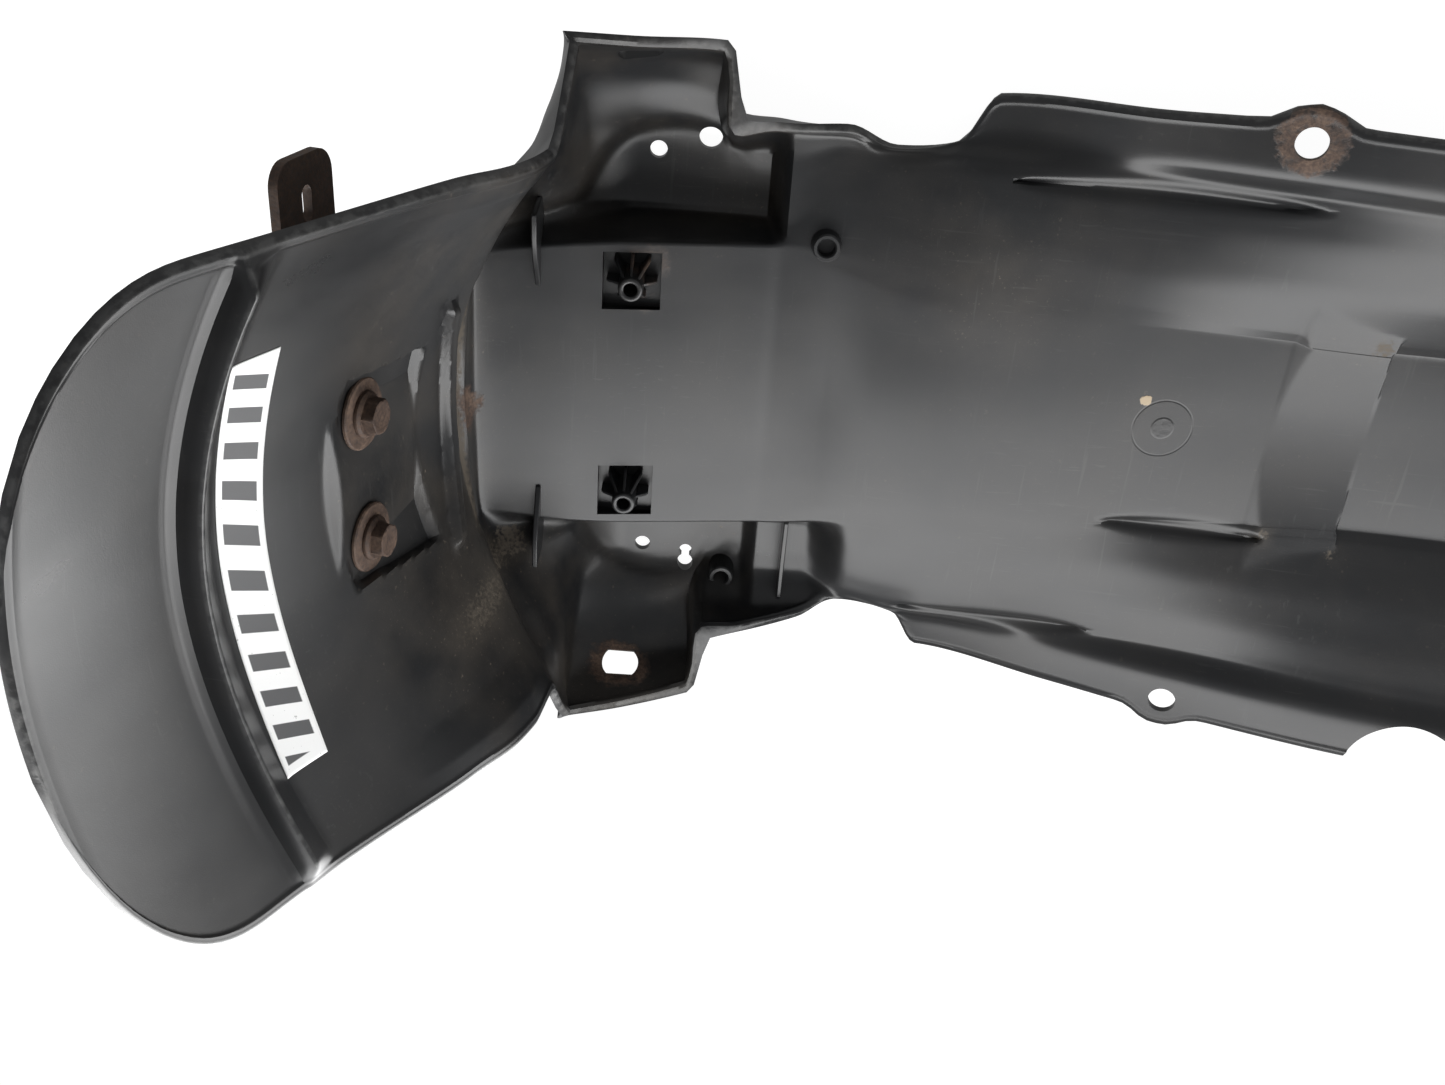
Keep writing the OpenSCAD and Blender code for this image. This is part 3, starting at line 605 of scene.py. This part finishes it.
def use_group(nodes, group, vector, amount):
    """A placed group with its amount, a number or a socket."""
    g = nodes.new("ShaderNodeGroup")
    g.node_tree = group
    feed(nodes, vector, g.inputs["Vector"])
    feed(nodes, amount, g.inputs["Amount"])
    return g.outputs


def new_material(name):
    """Material with its Principled shader and the Object coordinates."""
    m = bpy.data.materials.new(name)
    m.use_nodes = True
    nodes = m.node_tree.nodes
    place = nodes.new("ShaderNodeTexCoord").outputs["Object"]
    return m, nodes, m.node_tree.links, nodes["Principled BSDF"], place


def add_bump(nodes, height, distance, strength, shader):
    """Bump of a height in metres on the shader's normal."""
    b = nodes.new("ShaderNodeBump")
    b.inputs["Distance"].default_value, b.inputs["Strength"].default_value = distance, strength
    feed(nodes, height, b.inputs["Height"])
    feed(nodes, b.outputs["Normal"], shader.inputs["Normal"])


def attribute(nodes, name):
    """Value that the mesh carries at each point."""
    a = nodes.new("ShaderNodeAttribute")
    a.attribute_name = name
    return a.outputs["Fac"]


# the pale grey of scuffs and scratches, which along the rib's crest is also a painted highlight
PLASTIC, PALE_SCUFF_AND_HIGHLIGHT, SAND = (0.0095, 0.0098, 0.0105), (0.16, 0.16, 0.155), (0.20, 0.165, 0.125)
CHIP = (0.36, 0.28, 0.18)
GATE = (187.5, 0, -4.7)
GATE_DISC, GATE_RING = 0.0039, 0.0105
CHIP_AT, CHIP_RADIUS = (179.7, 10.2, -4.8), 0.0019
# places of rust marks, each with the distances in metres where it is full and where it ends
STAINS = [((205.8, 105.2, 12.1), 0.0096, 0.0112), ((-1.5, -112.5, -6), 0.0088, 0.0112),
          ((2.8, -112.5, -6), 0.0080, 0.0108), ((-54.6, -0.5, 2), 0.0026, 0.0050),
          ((-53, -5.5, 0), 0.0042, 0.0062), ((-54, -10, 1), 0.0020, 0.0048),
          ((7.5, 46, -8), 0.0005, 0.0075),
          ((5, 33, -11), 0.0, 0.0045), ((1.5, 47, -9), 0.0, 0.0055)]


def away_from(nodes, place, at):
    """Distance in metres from a place that is given in mm."""
    d = nodes.new("ShaderNodeVectorMath")
    d.operation = "DISTANCE"
    feed(nodes, place, d.inputs[0])
    d.inputs[1].default_value = tuple(lay(np.array(at, float)))
    return d.outputs["Value"]


def spot(nodes, place, at, full, none, ragged):
    """Share from 1 within one distance of a place in mm to 0 at another, both in metres,
    with a border pushed about by a ragged value."""
    away = combine(nodes, "ADD", away_from(nodes, place, at), ragged)
    return spread_to(nodes, away, full, none, 1, 0)


def black_plastic():
    """Satin black plastic: fine grain, wiped smears, dust by the mesh's dirt value, pale
    scuffs by its wear value, which along the rib's crest is a painted highlight, rust where
    steel washers sat, a chip of paint and the mould's gate, a disc inside a fine ring."""
    m, nodes, links, shader, place = new_material("black_plastic")
    smear = spread_to(nodes, noise(nodes, stretch(nodes, place, (9, 26, 20)), 1, 6), 0.3, 0.7)
    dirt = combine(nodes, "ADD", attribute(nodes, "dirt"), 0.10)
    dust = use_group(nodes, DUST, place, dirt)["Mask"]
    lines = use_group(nodes, HAIRLINES, place, 0.25)["Mask"]
    chips = spread_to(nodes, noise(nodes, place, 320, 4), 0.42, 0.60)
    # pale scuffs by the mesh's wear value, which along the rib's crest is a painted highlight
    scuff_and_highlight = combine(nodes, "MULTIPLY", attribute(nodes, "edge"), chips)
    body = blend(nodes, smear, PLASTIC, tuple(c * 1.5 for c in PLASTIC))
    worn = blend(nodes, combine(nodes, "MULTIPLY", lines, 0.35), body, PALE_SCUFF_AND_HIGHLIGHT)
    ragged = spread_to(nodes, noise(nodes, place, 420, 4), 0.25, 0.75, -0.0016, 0.0016)
    marks = [spot(nodes, place, at, full, none, ragged) for at, full, none in STAINS]
    stain = marks[0]
    for mark in marks[1:]:
        stain = combine(nodes, "MAXIMUM", stain, mark)
    patchy = spread_to(nodes, noise(nodes, place, 260, 5), 0.30, 0.50)
    stain = combine(nodes, "MULTIPLY", stain, patchy)
    packed = spread_to(nodes, combine(nodes, "ADD", attribute(nodes, "dirt"), combine(
        nodes, "MULTIPLY", noise(nodes, place, 700, 3), 0.9)), 1.12, 1.32)
    rust = use_group(nodes, RUST, place, 1.0)
    chip = spot(nodes, place, CHIP_AT, CHIP_RADIUS - 0.0002, CHIP_RADIUS + 0.0002,
                combine(nodes, "MULTIPLY", ragged, 0.5))
    from_gate = away_from(nodes, place, GATE)
    ring = spread_to(nodes, combine(nodes, "ABSOLUTE", combine(
        nodes, "SUBTRACT", from_gate, GATE_RING), 0), 0.00012, 0.00045, 1, 0)
    disc = spread_to(nodes, from_gate, GATE_DISC - 0.0003, GATE_DISC + 0.0003, 1, 0)
    gate = combine(nodes, "SUBTRACT", combine(nodes, "MULTIPLY", disc, combine(
        nodes, "ADD", noise(nodes, place, 500, 2), 0.6)), ring)
    plain = blend(nodes, dust, blend(nodes, scuff_and_highlight, worn, PALE_SCUFF_AND_HIGHLIGHT), SAND)
    plain = blend(nodes, packed, plain, tuple(c * 0.42 for c in SAND))
    plain = blend(nodes, stain, plain, rust["Color"])
    links.new(blend(nodes, chip, plain, CHIP), shader.inputs["Base Color"])
    rough = combine(nodes, "ADD", spread_to(nodes, smear, 0, 1, 0.27, 0.38),
                    combine(nodes, "MULTIPLY", combine(nodes, "MAXIMUM", dust, combine(
                        nodes, "MAXIMUM", stain, packed)), 0.4))
    links.new(combine(nodes, "ADD", rough, combine(nodes, "MULTIPLY", scuff_and_highlight, 0.2)),
              shader.inputs["Roughness"])
    grain = combine(nodes, "ADD", noise(nodes, place, 2600, 2),
                    combine(nodes, "MULTIPLY", noise(nodes, place, 120, 4), 0.6))
    marks_up = combine(nodes, "ADD", combine(nodes, "MULTIPLY", gate, 5.0), combine(
        nodes, "MULTIPLY", combine(nodes, "MULTIPLY", stain, rust["Height"]), 7.0))
    marks_up = combine(nodes, "ADD", marks_up, combine(nodes, "MULTIPLY", chip, 3.0))
    add_bump(nodes, combine(nodes, "ADD", grain, marks_up), 0.00006, 0.35, shader)
    return m


# shares of pale scuffs on the rims and the tail's edge, and of a painted highlight along the rib's
# crest
RIM_WEAR, TAIL_WEAR, RIB_HIGHLIGHT = 0.3, 0.8, 0.3
RIB_CREST = 57.6
SCOOP_DIRT, SEAM_DIRT, GUTTER_DIRT = 0.3, 0.72, 0.25
# patches of settled dirt: x, y, reach and share
PATCHES = [(252.8, 37, 6, 0.9), (231.5, -38, 4, 0.8), (256, -42, 4, 0.8), (-44, -62, 9, 0.5),
           (118, 52, 30, 0.2), (-30, 100, 10, 0.25)]

plastic = black_plastic()
edge = RIM_WEAR * np.clip(1 - rim_gap / 1.3, 0, 1) * np.ones_like(X)
tail_edge = np.clip(1 - (S - WAY_KNOTS[0]) / 1.6, 0, 1) * ramp(C, 3, -1)
edge = np.maximum(edge, TAIL_WEAR * tail_edge)
# painted highlight: a pale line along the rib's crest
edge = np.maximum(edge, RIB_HIGHLIGHT * ramp(np.abs(S - RIB_CREST), 1.2, 0.2))
dirt = SCOOP_DIRT * ramp(S, 235, 200) * ramp(S, 90, 150)
dirt += SEAM_DIRT * ramp(np.abs(S - SEAM_WAY), 3.5, 1) * ramp(np.abs(Y), 50, 40)
dirt += GUTTER_DIRT * ramp(np.abs(Y), 53, 57) * ramp(S, 205, 215) * ramp(S, 310, 300)
for x, y, reach, share in PATCHES:
    dirt += share * np.exp(-((X - x) ** 2 + (Y - y) ** 2) / reach ** 2)
dirt = np.clip(dirt, 0, 1)


def carry(mesh, name, fine):
    """Point values of the wheel side, and none on the outer face."""
    rest = len(mesh.vertices) - fine.size
    values = np.concatenate([fine.ravel(), np.zeros(rest)]).astype(np.float32)
    mesh.attributes.new(name, "FLOAT", "POINT").data.foreach_set("value", values)


whole = shell_mesh()
carry(whole, "edge", edge)
carry(whole, "dirt", dirt)
shell = cut(whole, hole_cutters())
smooth(shell, 38)
add_piece("fender_shell", shell, plastic, "black_plastic", "fender")


def tube(profile, segments, place=np.eye(3), shift=(0, 0, 0), corners=0):
    """Closed surface turned about Z from (radius, height) points that start and end on
    the axis; with corners, the radius is that of a polygon of so many flats, and no
    more than the profile's own."""
    r, z = np.array(profile, float).T
    a = np.arange(segments) * 2 * math.pi / segments
    radius = np.broadcast_to(r[1:-1, None], (len(r) - 2, segments)).copy()
    if corners:
        step = 2 * math.pi / corners
        flat = FLAT / np.cos((a + step / 2) % step - step / 2)
        radius = np.minimum(radius, flat)
    rings = np.stack([radius * np.cos(a), radius * np.sin(a),
                      np.broadcast_to(z[1:-1, None], radius.shape)], -1).reshape(-1, 3)
    points = np.concatenate([rings, [[0, 0, z[0]], [0, 0, z[-1]]]])
    n = len(r) - 2
    at = np.arange(n * segments).reshape(n, segments)
    after = np.roll(at, -1, axis=1)
    sides = np.stack([at[:-1], after[:-1], after[1:], at[1:]], -1).reshape(-1, 4)
    low = np.stack([after[0], at[0], np.full(segments, n * segments)], -1)
    high = np.stack([at[-1], after[-1], np.full(segments, n * segments + 1)], -1)
    return points @ np.asarray(place).T + np.asarray(shift, float), [sides], [low, high]


def piece_mesh(name, parts, degrees=30):
    """Smooth-shaded mesh of several closed parts, laid into the frame."""
    points, quads, caps = join(parts)
    mesh = make_mesh(name, lay(points), quads + caps)
    smooth(mesh, degrees)
    return mesh


def add_bevel(piece, width):
    """Small rounded edge, in metres, on every sharp edge of a piece."""
    b = piece.modifiers.new("edges", "BEVEL")
    b.width, b.segments = width, 2
    b.limit_method, b.angle_limit = "ANGLE", math.radians(40)


# Ribbed screw bosses. Each stands in its own square well below the panel, moulded with
# the shell: a round post with a screw hole and thin ribs that run to the well's sides.
WELL_WALL, POST_RADIUS, SCREW_RADIUS, RIB_THICK = 2.4, 4.1, 2.3, 1.1
PANEL_Z = -10.3
# ribs of a boss: angle round it, reach from its middle and height at the post
BOSS_RIBS = [(90, 9.0, -1.0), (128, 9.5, -1.5), (52, 9.5, -1.5), (0, 8.5, -5.5),
             (180, 8.5, -5.5), (232, 7.2, -5.5), (308, 7.2, -5.5)]


def well(side):
    """Square cup under the panel: its floor and four walls as prisms that overlap a bit."""
    y0, y1 = sorted((side * POCKET_Y[0], side * POCKET_Y[1]))
    h, w, top, floor = POCKET_HALF, WELL_WALL, PANEL_Z - 1.2, PANEL_Z - POCKET_DEPTH
    boxes = [(-h - w, h + w, y0 - w, y1 + w, floor - w, floor),
             (-h - w, -h, y0 - w, y1 + w, floor - 0.2, top + 1.1),
             (h, h + w, y0 - w, y1 + w, floor - 0.2, top - 1.2),
             (-h - 0.2, h + 0.2, y0 - w, y0, floor - 0.2, top),
             (-h - 0.2, h + 0.2, y1, y1 + w, floor - 0.2, top)]
    return [prism([(a, c), (b, c), (b, d), (a, d)], e, f) for a, b, c, d, e, f in boxes]


def post(side):
    """Ring turned round its hole, and ribs that fall away from it."""
    y = side * BOSS_Y
    floor = PANEL_Z - POCKET_DEPTH - 0.3
    ring = tube([(0, floor), (POST_RADIUS + 0.5, floor), (POST_RADIUS, -0.5),
                 (POST_RADIUS - 0.5, 0), (SCREW_RADIUS + 0.3, 0), (SCREW_RADIUS, -0.4),
                 (SCREW_RADIUS - 0.1, -11), (0, -11)], 40, shift=(0, y, 0))
    parts = [ring]
    for angle, reach, height in BOSS_RIBS:
        a = math.radians(angle)
        turn = np.array([[math.cos(a), 0, math.sin(a)], [math.sin(a), 0, -math.cos(a)],
                         [0, 1, 0]])
        outline = [(POST_RADIUS - 0.7, floor), (reach, floor), (reach, PANEL_Z + 0.3),
                   (reach - 0.6, PANEL_Z + 1.6), (POST_RADIUS - 0.7, height)]
        parts.append(prism(outline, -RIB_THICK / 2, RIB_THICK / 2, turn, (0, y, 0)))
    return parts


for side, name in ((1, "left"), (-1, "right")):
    bosses = add_piece("boss_" + name, piece_mesh("boss_" + name, well(side) + post(side)),
                       plastic, "black_plastic", "fender")
    add_bevel(bosses, 0.0003)


# Gussets and round screw bosses of the gutters. Thin webs stiffen the tail end of each
# gutter and the front end of one, and two round posts take screws; all are moulded with
# the shell.
GUSSET_X, GUSSET_THICK = -31.0, 1.8
GUSSET = [(37, -8.5), (38, -5.8), (44, -1.5), (50, 2.6), (57, 5.2), (65, 5.6), (67, -24),
          (54, -24), (52, -9)]
LOW_WEB_X = 60.5
LOW_WEB = [(53, -18), (54, -17.4), (88, -20), (90, -31), (54, -31)]
# x, y, top, radius, hole radius and height
SCREW_BOSSES = [(37.8, -84.1, -26, 4.8, 2.75, 11), (64.4, 54.5, -12, 4.8, 3, 7)]


def web(outline, x, side, thick):
    """Upright plate across the fender: the outline is in Y and Z."""
    turn = np.array([[0, 0, 1], [side, 0, 0], [0, 1, 0]])
    return prism(outline if side > 0 else outline[::-1], -thick / 2, thick / 2, turn, (x, 0, 0))


gussets = add_piece("gussets", piece_mesh("gussets", [
    web(GUSSET, GUSSET_X, 1, GUSSET_THICK), web(GUSSET, GUSSET_X, -1, GUSSET_THICK),
    web(LOW_WEB, LOW_WEB_X, -1, GUSSET_THICK)]), plastic, "black_plastic", "fender")
add_bevel(gussets, 0.0004)


def screw_boss(x, y, top, radius, hole, height):
    """Round post with a rounded mouth and a blind hole."""
    return tube([(0, top - height), (radius + 0.6, top - height), (radius, top - 0.6),
                 (radius - 0.5, top), (hole + 0.4, top), (hole, top - 0.5),
                 (hole - 0.1, top - height + 1.5), (0, top - height + 1.5)], 40,
                shift=(x, y, 0))


add_piece("gutter_bosses", piece_mesh("gutter_bosses", [
    screw_boss(*sizes) for sizes in SCREW_BOSSES]), plastic, "black_plastic", "fender")


# Screws, washers and nuts of the strip. Two zinc-plated hexagon screws with round collars
# sit on large washers on the scoop's pad; all have gone brown with rust.
FLAT = 5.0
STRIP_BACK, STRIP_THICK = 11.5, 3.0
WASHER_RADIUS, WASHER_THICK = 11.0, 1.6


def rusty_metal(name, amount, depth, metal):
    """Steel under rust: colour, roughness and height come from the rust group."""
    m, nodes, links, shader, place = new_material(name)
    rust = use_group(nodes, RUST, place, amount)
    links.new(rust["Color"], shader.inputs["Base Color"])
    links.new(rust["Rough"], shader.inputs["Roughness"])
    shader.inputs["Metallic"].default_value = metal
    add_bump(nodes, rust["Height"], depth, 0.8, shader)
    return m


def pad_place(side):
    """Place of a part that is built along the bolt axis, on one of the two bolts."""
    return tilt_y(90 - math.degrees(PAD_TILT)), PAD_AT + [0, side * BOLT_Y, 0]


def bolt_parts(side, turn_by):
    """Shank with collar, and a hexagon head whose corners a cone cuts, from below up."""
    place, at = pad_place(side)
    low = -STRIP_BACK - STRIP_THICK - 7
    c, sn = math.cos(turn_by), math.sin(turn_by)
    spin = place @ np.array([[c, -sn, 0], [sn, c, 0], [0, 0, 1]])
    t = WASHER_THICK
    stem = tube([(0, low), (2.4, low), (3, low + 0.8), (3, t), (6.9, t), (7.1, t + 0.5),
                 (7.0, t + 1.1), (6.2, t + 1.9), (0, t + 1.9)], 56, place, at)
    head = tube([(0, t + 1.5), (5.8, t + 1.5), (5.8, t + 4.8), (5.2, t + 5.5), (4.6, t + 5.7),
                 (3.9, t + 5.55), (0, t + 5.45)], 72, spin, at, corners=6)
    return [stem, head]


def washer_part(side):
    """Flat ring with worn, rounded edges."""
    place, at = pad_place(side)
    r, t = WASHER_RADIUS, WASHER_THICK
    return tube([(0, 0.02), (r - 0.5, 0.02), (r, 0.4), (r, t - 0.5), (r - 0.4, t - 0.08),
                 (r - 1.2, t), (5, t), (0, t)], 72, place, at)


def nut_part(side):
    """Hexagon nut behind the strip."""
    place, at = pad_place(side)
    low = -STRIP_BACK - STRIP_THICK - 5
    return tube([(0, low), (4.9, low), (5.7, low + 0.7), (5.7, low + 4.3), (4.9, low + 5),
                 (0, low + 5)], 72, place, at, corners=6)


bolt_rust = rusty_metal("rusty_bolt", 0.55, 0.00025, 0.25)
washer_rust = rusty_metal("rusty_washer", 1.0, 0.0003, 0.15)
add_piece("bolts", piece_mesh("bolts", bolt_parts(1, 0.35) + bolt_parts(-1, -0.1), 35), bolt_rust,
          "bolt_steel", "bolts")
add_piece("washers", piece_mesh("washers", [washer_part(s) for s in (1, -1)], 35), washer_rust,
          "rusty_strip", "washers")
add_piece("nuts", piece_mesh("nuts", [nut_part(s) for s in (1, -1)], 35), bolt_rust,
          "bolt_steel", "nuts")


# Steel strip behind the scoop's pad. A flat bar with rounded ends that the two screws
# hold; its ends stand out past the scoop and have a slot each. It is all rust.
STRIP_HALF, STRIP_HALF_WIDTH, STRIP_ROUND = 95.0, 14.0, 7.0
SLOT_Y, SLOT_HALF, SLOT_RADIUS = 81.7, 2.5, 2.5


def round_ended(x, y, radius, corner_steps=9):
    """Outline of a rectangle of these half sizes with rounded corners."""
    a = np.linspace(0, math.pi / 2, corner_steps)
    quarter = np.column_stack([np.cos(a), np.sin(a)]) * radius
    corners = [(1, 1), (-1, 1), (-1, -1), (1, -1)]
    parts = []
    for k, (i, j) in enumerate(corners):
        c, s = math.cos(k * math.pi / 2), math.sin(k * math.pi / 2)
        parts.append(quarter @ np.array([[c, s], [-s, c]])
                     + [i * (x - radius), j * (y - radius)])
    return np.concatenate(parts)


def strip_mesh():
    """Bar with two round holes and a slot near each end, all cut by the exact boolean."""
    place = tilt_y(90 - math.degrees(PAD_TILT))
    bar = prism(round_ended(STRIP_HALF_WIDTH, STRIP_HALF, STRIP_ROUND),
                -STRIP_BACK - STRIP_THICK, -STRIP_BACK, place, PAD_AT)
    low, high = -STRIP_BACK - STRIP_THICK - 1, -STRIP_BACK + 1
    cuts = []
    for side in (1, -1):
        cuts.append(prism(circle(BOLT_RADIUS + BOLT_GAP, 40, (0, side * BOLT_Y)), low, high,
                          place, PAD_AT))
        slot = round_ended(SLOT_RADIUS, SLOT_HALF + SLOT_RADIUS, SLOT_RADIUS - 0.01)
        cuts.append(prism(slot + [0, side * SLOT_Y], low, high, place, PAD_AT))
    points, quads, caps = join([bar])
    mesh = cut(make_mesh("strip", lay(points), quads + caps), join(cuts))
    smooth(mesh, 30)
    return mesh


strip = add_piece("strip_bar", strip_mesh(), rusty_metal("rusty_strip", 0.35, 0.0004, 0.2),
                  "rusty_strip", "strip")
add_bevel(strip, 0.0005)


# White film stuck across the scoop beside the rib. It is thin self-adhesive sheet with a
# plain pattern of slanted dark bars.
FILM_CROSS, FILM_ROWS, FILM_COLUMNS = (-4.12, 3.5), 15, 121
# way of each long edge at the middle line, and its fall with the square of the place across
FILM_START, FILM_END = (71.2, 0.2), (88.2, 0.27)
FILM_PROUD, FILM_THICK = 0.25, 0.0002


def film_points():
    """Points of the thin sheet, proud of the wheel side: its two long edges lie at a way
    that falls with the square of the place across, and it is straight between them."""
    rows = np.linspace(0, 1, FILM_ROWS)
    places = np.linspace(*FILM_CROSS, FILM_COLUMNS)
    start = FILM_START[0] - FILM_START[1] * places ** 2
    end = FILM_END[0] - FILM_END[1] * places ** 2
    at_way = start[None] + (end - start)[None] * rows[:, None]
    points = np.empty(at_way.shape + (3,))
    for axis in range(3):
        value = inner[..., axis] + FILM_PROUD * inward[..., axis]
        columns = np.array([np.interp(places, crosses, row) for row in value])
        for k in range(len(places)):
            points[:, k, axis] = np.interp(at_way[:, k], ways, columns[:, k])
    return points


film = film_points()
film_uv = np.stack(np.meshgrid(np.linspace(0, 1, FILM_ROWS), np.linspace(0, 1, FILM_COLUMNS),
                               indexing="ij"), -1)
film_mesh = make_mesh("decal", lay(film.reshape(-1, 3)), [grid_faces(*film.shape[:2])])
smooth(film_mesh, 60)
layer = film_mesh.uv_layers.new(name="film")
corner = np.empty(len(film_mesh.loops), np.int32)
film_mesh.loops.foreach_get("vertex_index", corner)
layer.data.foreach_set("uv", film_uv.reshape(-1, 2)[corner].astype(np.float32).ravel())


FILM_WHITE, FILM_INK, FILM_SPECK = (0.88, 0.88, 0.87), (0.075, 0.075, 0.078), (0.10, 0.09, 0.08)
BAR_COUNT, BAR_SLANT = 11.0, 0.6


def film_paint():
    """White film with dark slanted bars: a wave along the film, its phase led by the way
    across it, and no bars near the borders."""
    m, nodes, links, shader, place = new_material("white_film")
    uv = nodes.new("ShaderNodeUVMap")
    uv.uv_map = "film"
    parts = nodes.new("ShaderNodeSeparateXYZ")
    links.new(uv.outputs["UV"], parts.inputs["Vector"])
    slant = combine(nodes, "ADD", combine(nodes, "MULTIPLY", parts.outputs["Y"], BAR_COUNT),
                    combine(nodes, "MULTIPLY", parts.outputs["X"], BAR_SLANT))
    phase = combine(nodes, "FRACT", slant, 0.0)
    bar = spread_to(nodes, combine(nodes, "ABSOLUTE", combine(nodes, "SUBTRACT", phase, 0.5), 0),
                    0.22, 0.235, 1, 0)
    across = combine(nodes, "ABSOLUTE", combine(nodes, "SUBTRACT", parts.outputs["X"], 0.5), 0)
    along_film = combine(nodes, "SUBTRACT", parts.outputs["Y"], 0.5)
    along_film = combine(nodes, "ABSOLUTE", along_film, 0)
    inside = combine(nodes, "MULTIPLY", spread_to(nodes, across, 0.36, 0.38, 1, 0),
                     spread_to(nodes, along_film, 0.468, 0.471, 1, 0))
    ink = combine(nodes, "MULTIPLY", bar, inside)
    specks = spread_to(nodes, noise(nodes, place, 900, 3), 0.70, 0.74)
    barred = blend(nodes, ink, FILM_WHITE, FILM_INK)
    specked = blend(nodes, combine(nodes, "MULTIPLY", specks, 0.6), barred, FILM_SPECK)
    links.new(specked, shader.inputs["Base Color"])
    shader.inputs["Roughness"].default_value = 0.5
    return m


decal = add_piece("decal", film_mesh, film_paint(), "white_film", "decal")
thick = decal.modifiers.new("thickness", "SOLIDIFY")
thick.thickness, thick.offset = FILM_THICK, -1


# Light, floor and camera. A long soft lamp along the part's lower side gives most of the
# light, in a dim room, and the pale floor behind the part glows to a plain white.
FOCAL_SHARE = 1400 / 1445
EYE = np.array([20.2, 198.49, 441.15])
RIGHT = np.array([0.9979, 0.0646, 0.0])
DOWN = np.array([0.0561, -0.8662, 0.4965])
AHEAD = np.array([0.0321, -0.4955, -0.868])
LAMP_AT, LAMP_TARGET = (60, -150, 186), (60, 0, 186)
LAMP_WIDTH, LAMP_HEIGHT, LAMP_WATTS = 1.9, 0.28, 8.2
ROOM, ROOM_STRENGTH = (0.80, 0.81, 0.83, 1), 0.40
FLOOR_HALF, FLOOR_COLOUR, GLOW = 3.0, (0.86, 0.86, 0.85, 1), (0.93, 0.93, 0.93, 1)
# strength and share of the floor's glow, seen by the camera and in gloss
SEEN_STRENGTH, SEEN_SHARE = 1.42, 0.72
GLOSS_STRENGTH, GLOSS_SHARE = 0.45, 0.85


def turned(vector):
    """A direction of the fender's axes in the frame."""
    c, s = math.cos(LAY_ANGLE), math.sin(LAY_ANGLE)
    x, y, z = vector
    return np.array([x * c + z * s, y, z * c - x * s])


def aim(thing, at, right, down, ahead):
    """Place a camera or lamp by its own right, down and ahead directions."""
    axes = [turned(unit(np.array(v, float))) for v in (right, -np.array(down), -np.array(ahead))]
    m = Matrix.Identity(4)
    for column, v in enumerate(axes):
        for row in range(3):
            m[row][column] = v[row]
    m.translation = lay(np.array(at, float))
    thing.matrix_world = m


camera_data = bpy.data.cameras.new("camera")
camera_data.sensor_width, camera_data.lens = 36.0, 36.0 * FOCAL_SHARE
camera_data.clip_start, camera_data.clip_end = 0.01, 50
camera = bpy.data.objects.new("camera", camera_data)
bpy.context.scene.collection.objects.link(camera)
bpy.context.scene.camera = camera
aim(camera, EYE, RIGHT, DOWN, AHEAD)


def soft_light(name, at, target, width, height, watts):
    """Rectangular lamp that faces a target."""
    data = bpy.data.lights.new(name, "AREA")
    data.shape, data.size, data.size_y, data.energy = "RECTANGLE", width, height, watts
    lamp = bpy.data.objects.new(name, data)
    bpy.context.scene.collection.objects.link(lamp)
    ahead = unit(np.array(target, float) - np.array(at, float))
    side = unit(np.cross(ahead, (-math.tan(LAY_ANGLE), 0, 1)))
    aim(lamp, at, side, np.cross(ahead, side), ahead)
    return lamp


lamp = soft_light("long_lamp", LAMP_AT, LAMP_TARGET, LAMP_WIDTH, LAMP_HEIGHT, LAMP_WATTS)
lamp.visible_camera = False

world = bpy.data.worlds.new("studio")
bpy.context.scene.world = world
world.use_nodes = True
room = world.node_tree.nodes["Background"]
room.inputs["Color"].default_value = ROOM
room.inputs["Strength"].default_value = ROOM_STRENGTH

floor_corners = FLOOR_HALF * np.array([[-1, -1, 0], [1, -1, 0], [1, 1, 0], [-1, 1, 0.0]])
floor_mesh = make_mesh("floor", floor_corners, [np.array([[0, 1, 2, 3]])])
floor = bpy.data.objects.new("floor", floor_mesh)
bpy.context.scene.collection.objects.link(floor)
floor_paint, nodes, links, shader, _ = new_material("pale_floor")
shader.inputs["Base Color"].default_value = FLOOR_COLOUR
shader.inputs["Roughness"].default_value = 0.6
glow = nodes.new("ShaderNodeEmission")
glow.inputs["Color"].default_value = GLOW
path = nodes.new("ShaderNodeLightPath")
to_camera, to_gloss = path.outputs["Is Camera Ray"], path.outputs["Is Glossy Ray"]
paint_mix = nodes.new("ShaderNodeMixShader")
for seen, gloss, socket in ((SEEN_STRENGTH, GLOSS_STRENGTH, glow.inputs["Strength"]),
                            (SEEN_SHARE, GLOSS_SHARE, paint_mix.inputs["Fac"])):
    links.new(combine(nodes, "ADD", combine(nodes, "MULTIPLY", to_camera, seen),
                      combine(nodes, "MULTIPLY", to_gloss, gloss)), socket)
links.new(shader.outputs["BSDF"], paint_mix.inputs[1])
links.new(glow.outputs["Emission"], paint_mix.inputs[2])
links.new(paint_mix.outputs["Shader"], nodes["Material Output"].inputs["Surface"])
floor_mesh.materials.append(floor_paint)

bpy.context.scene.view_settings.view_transform = "Standard"
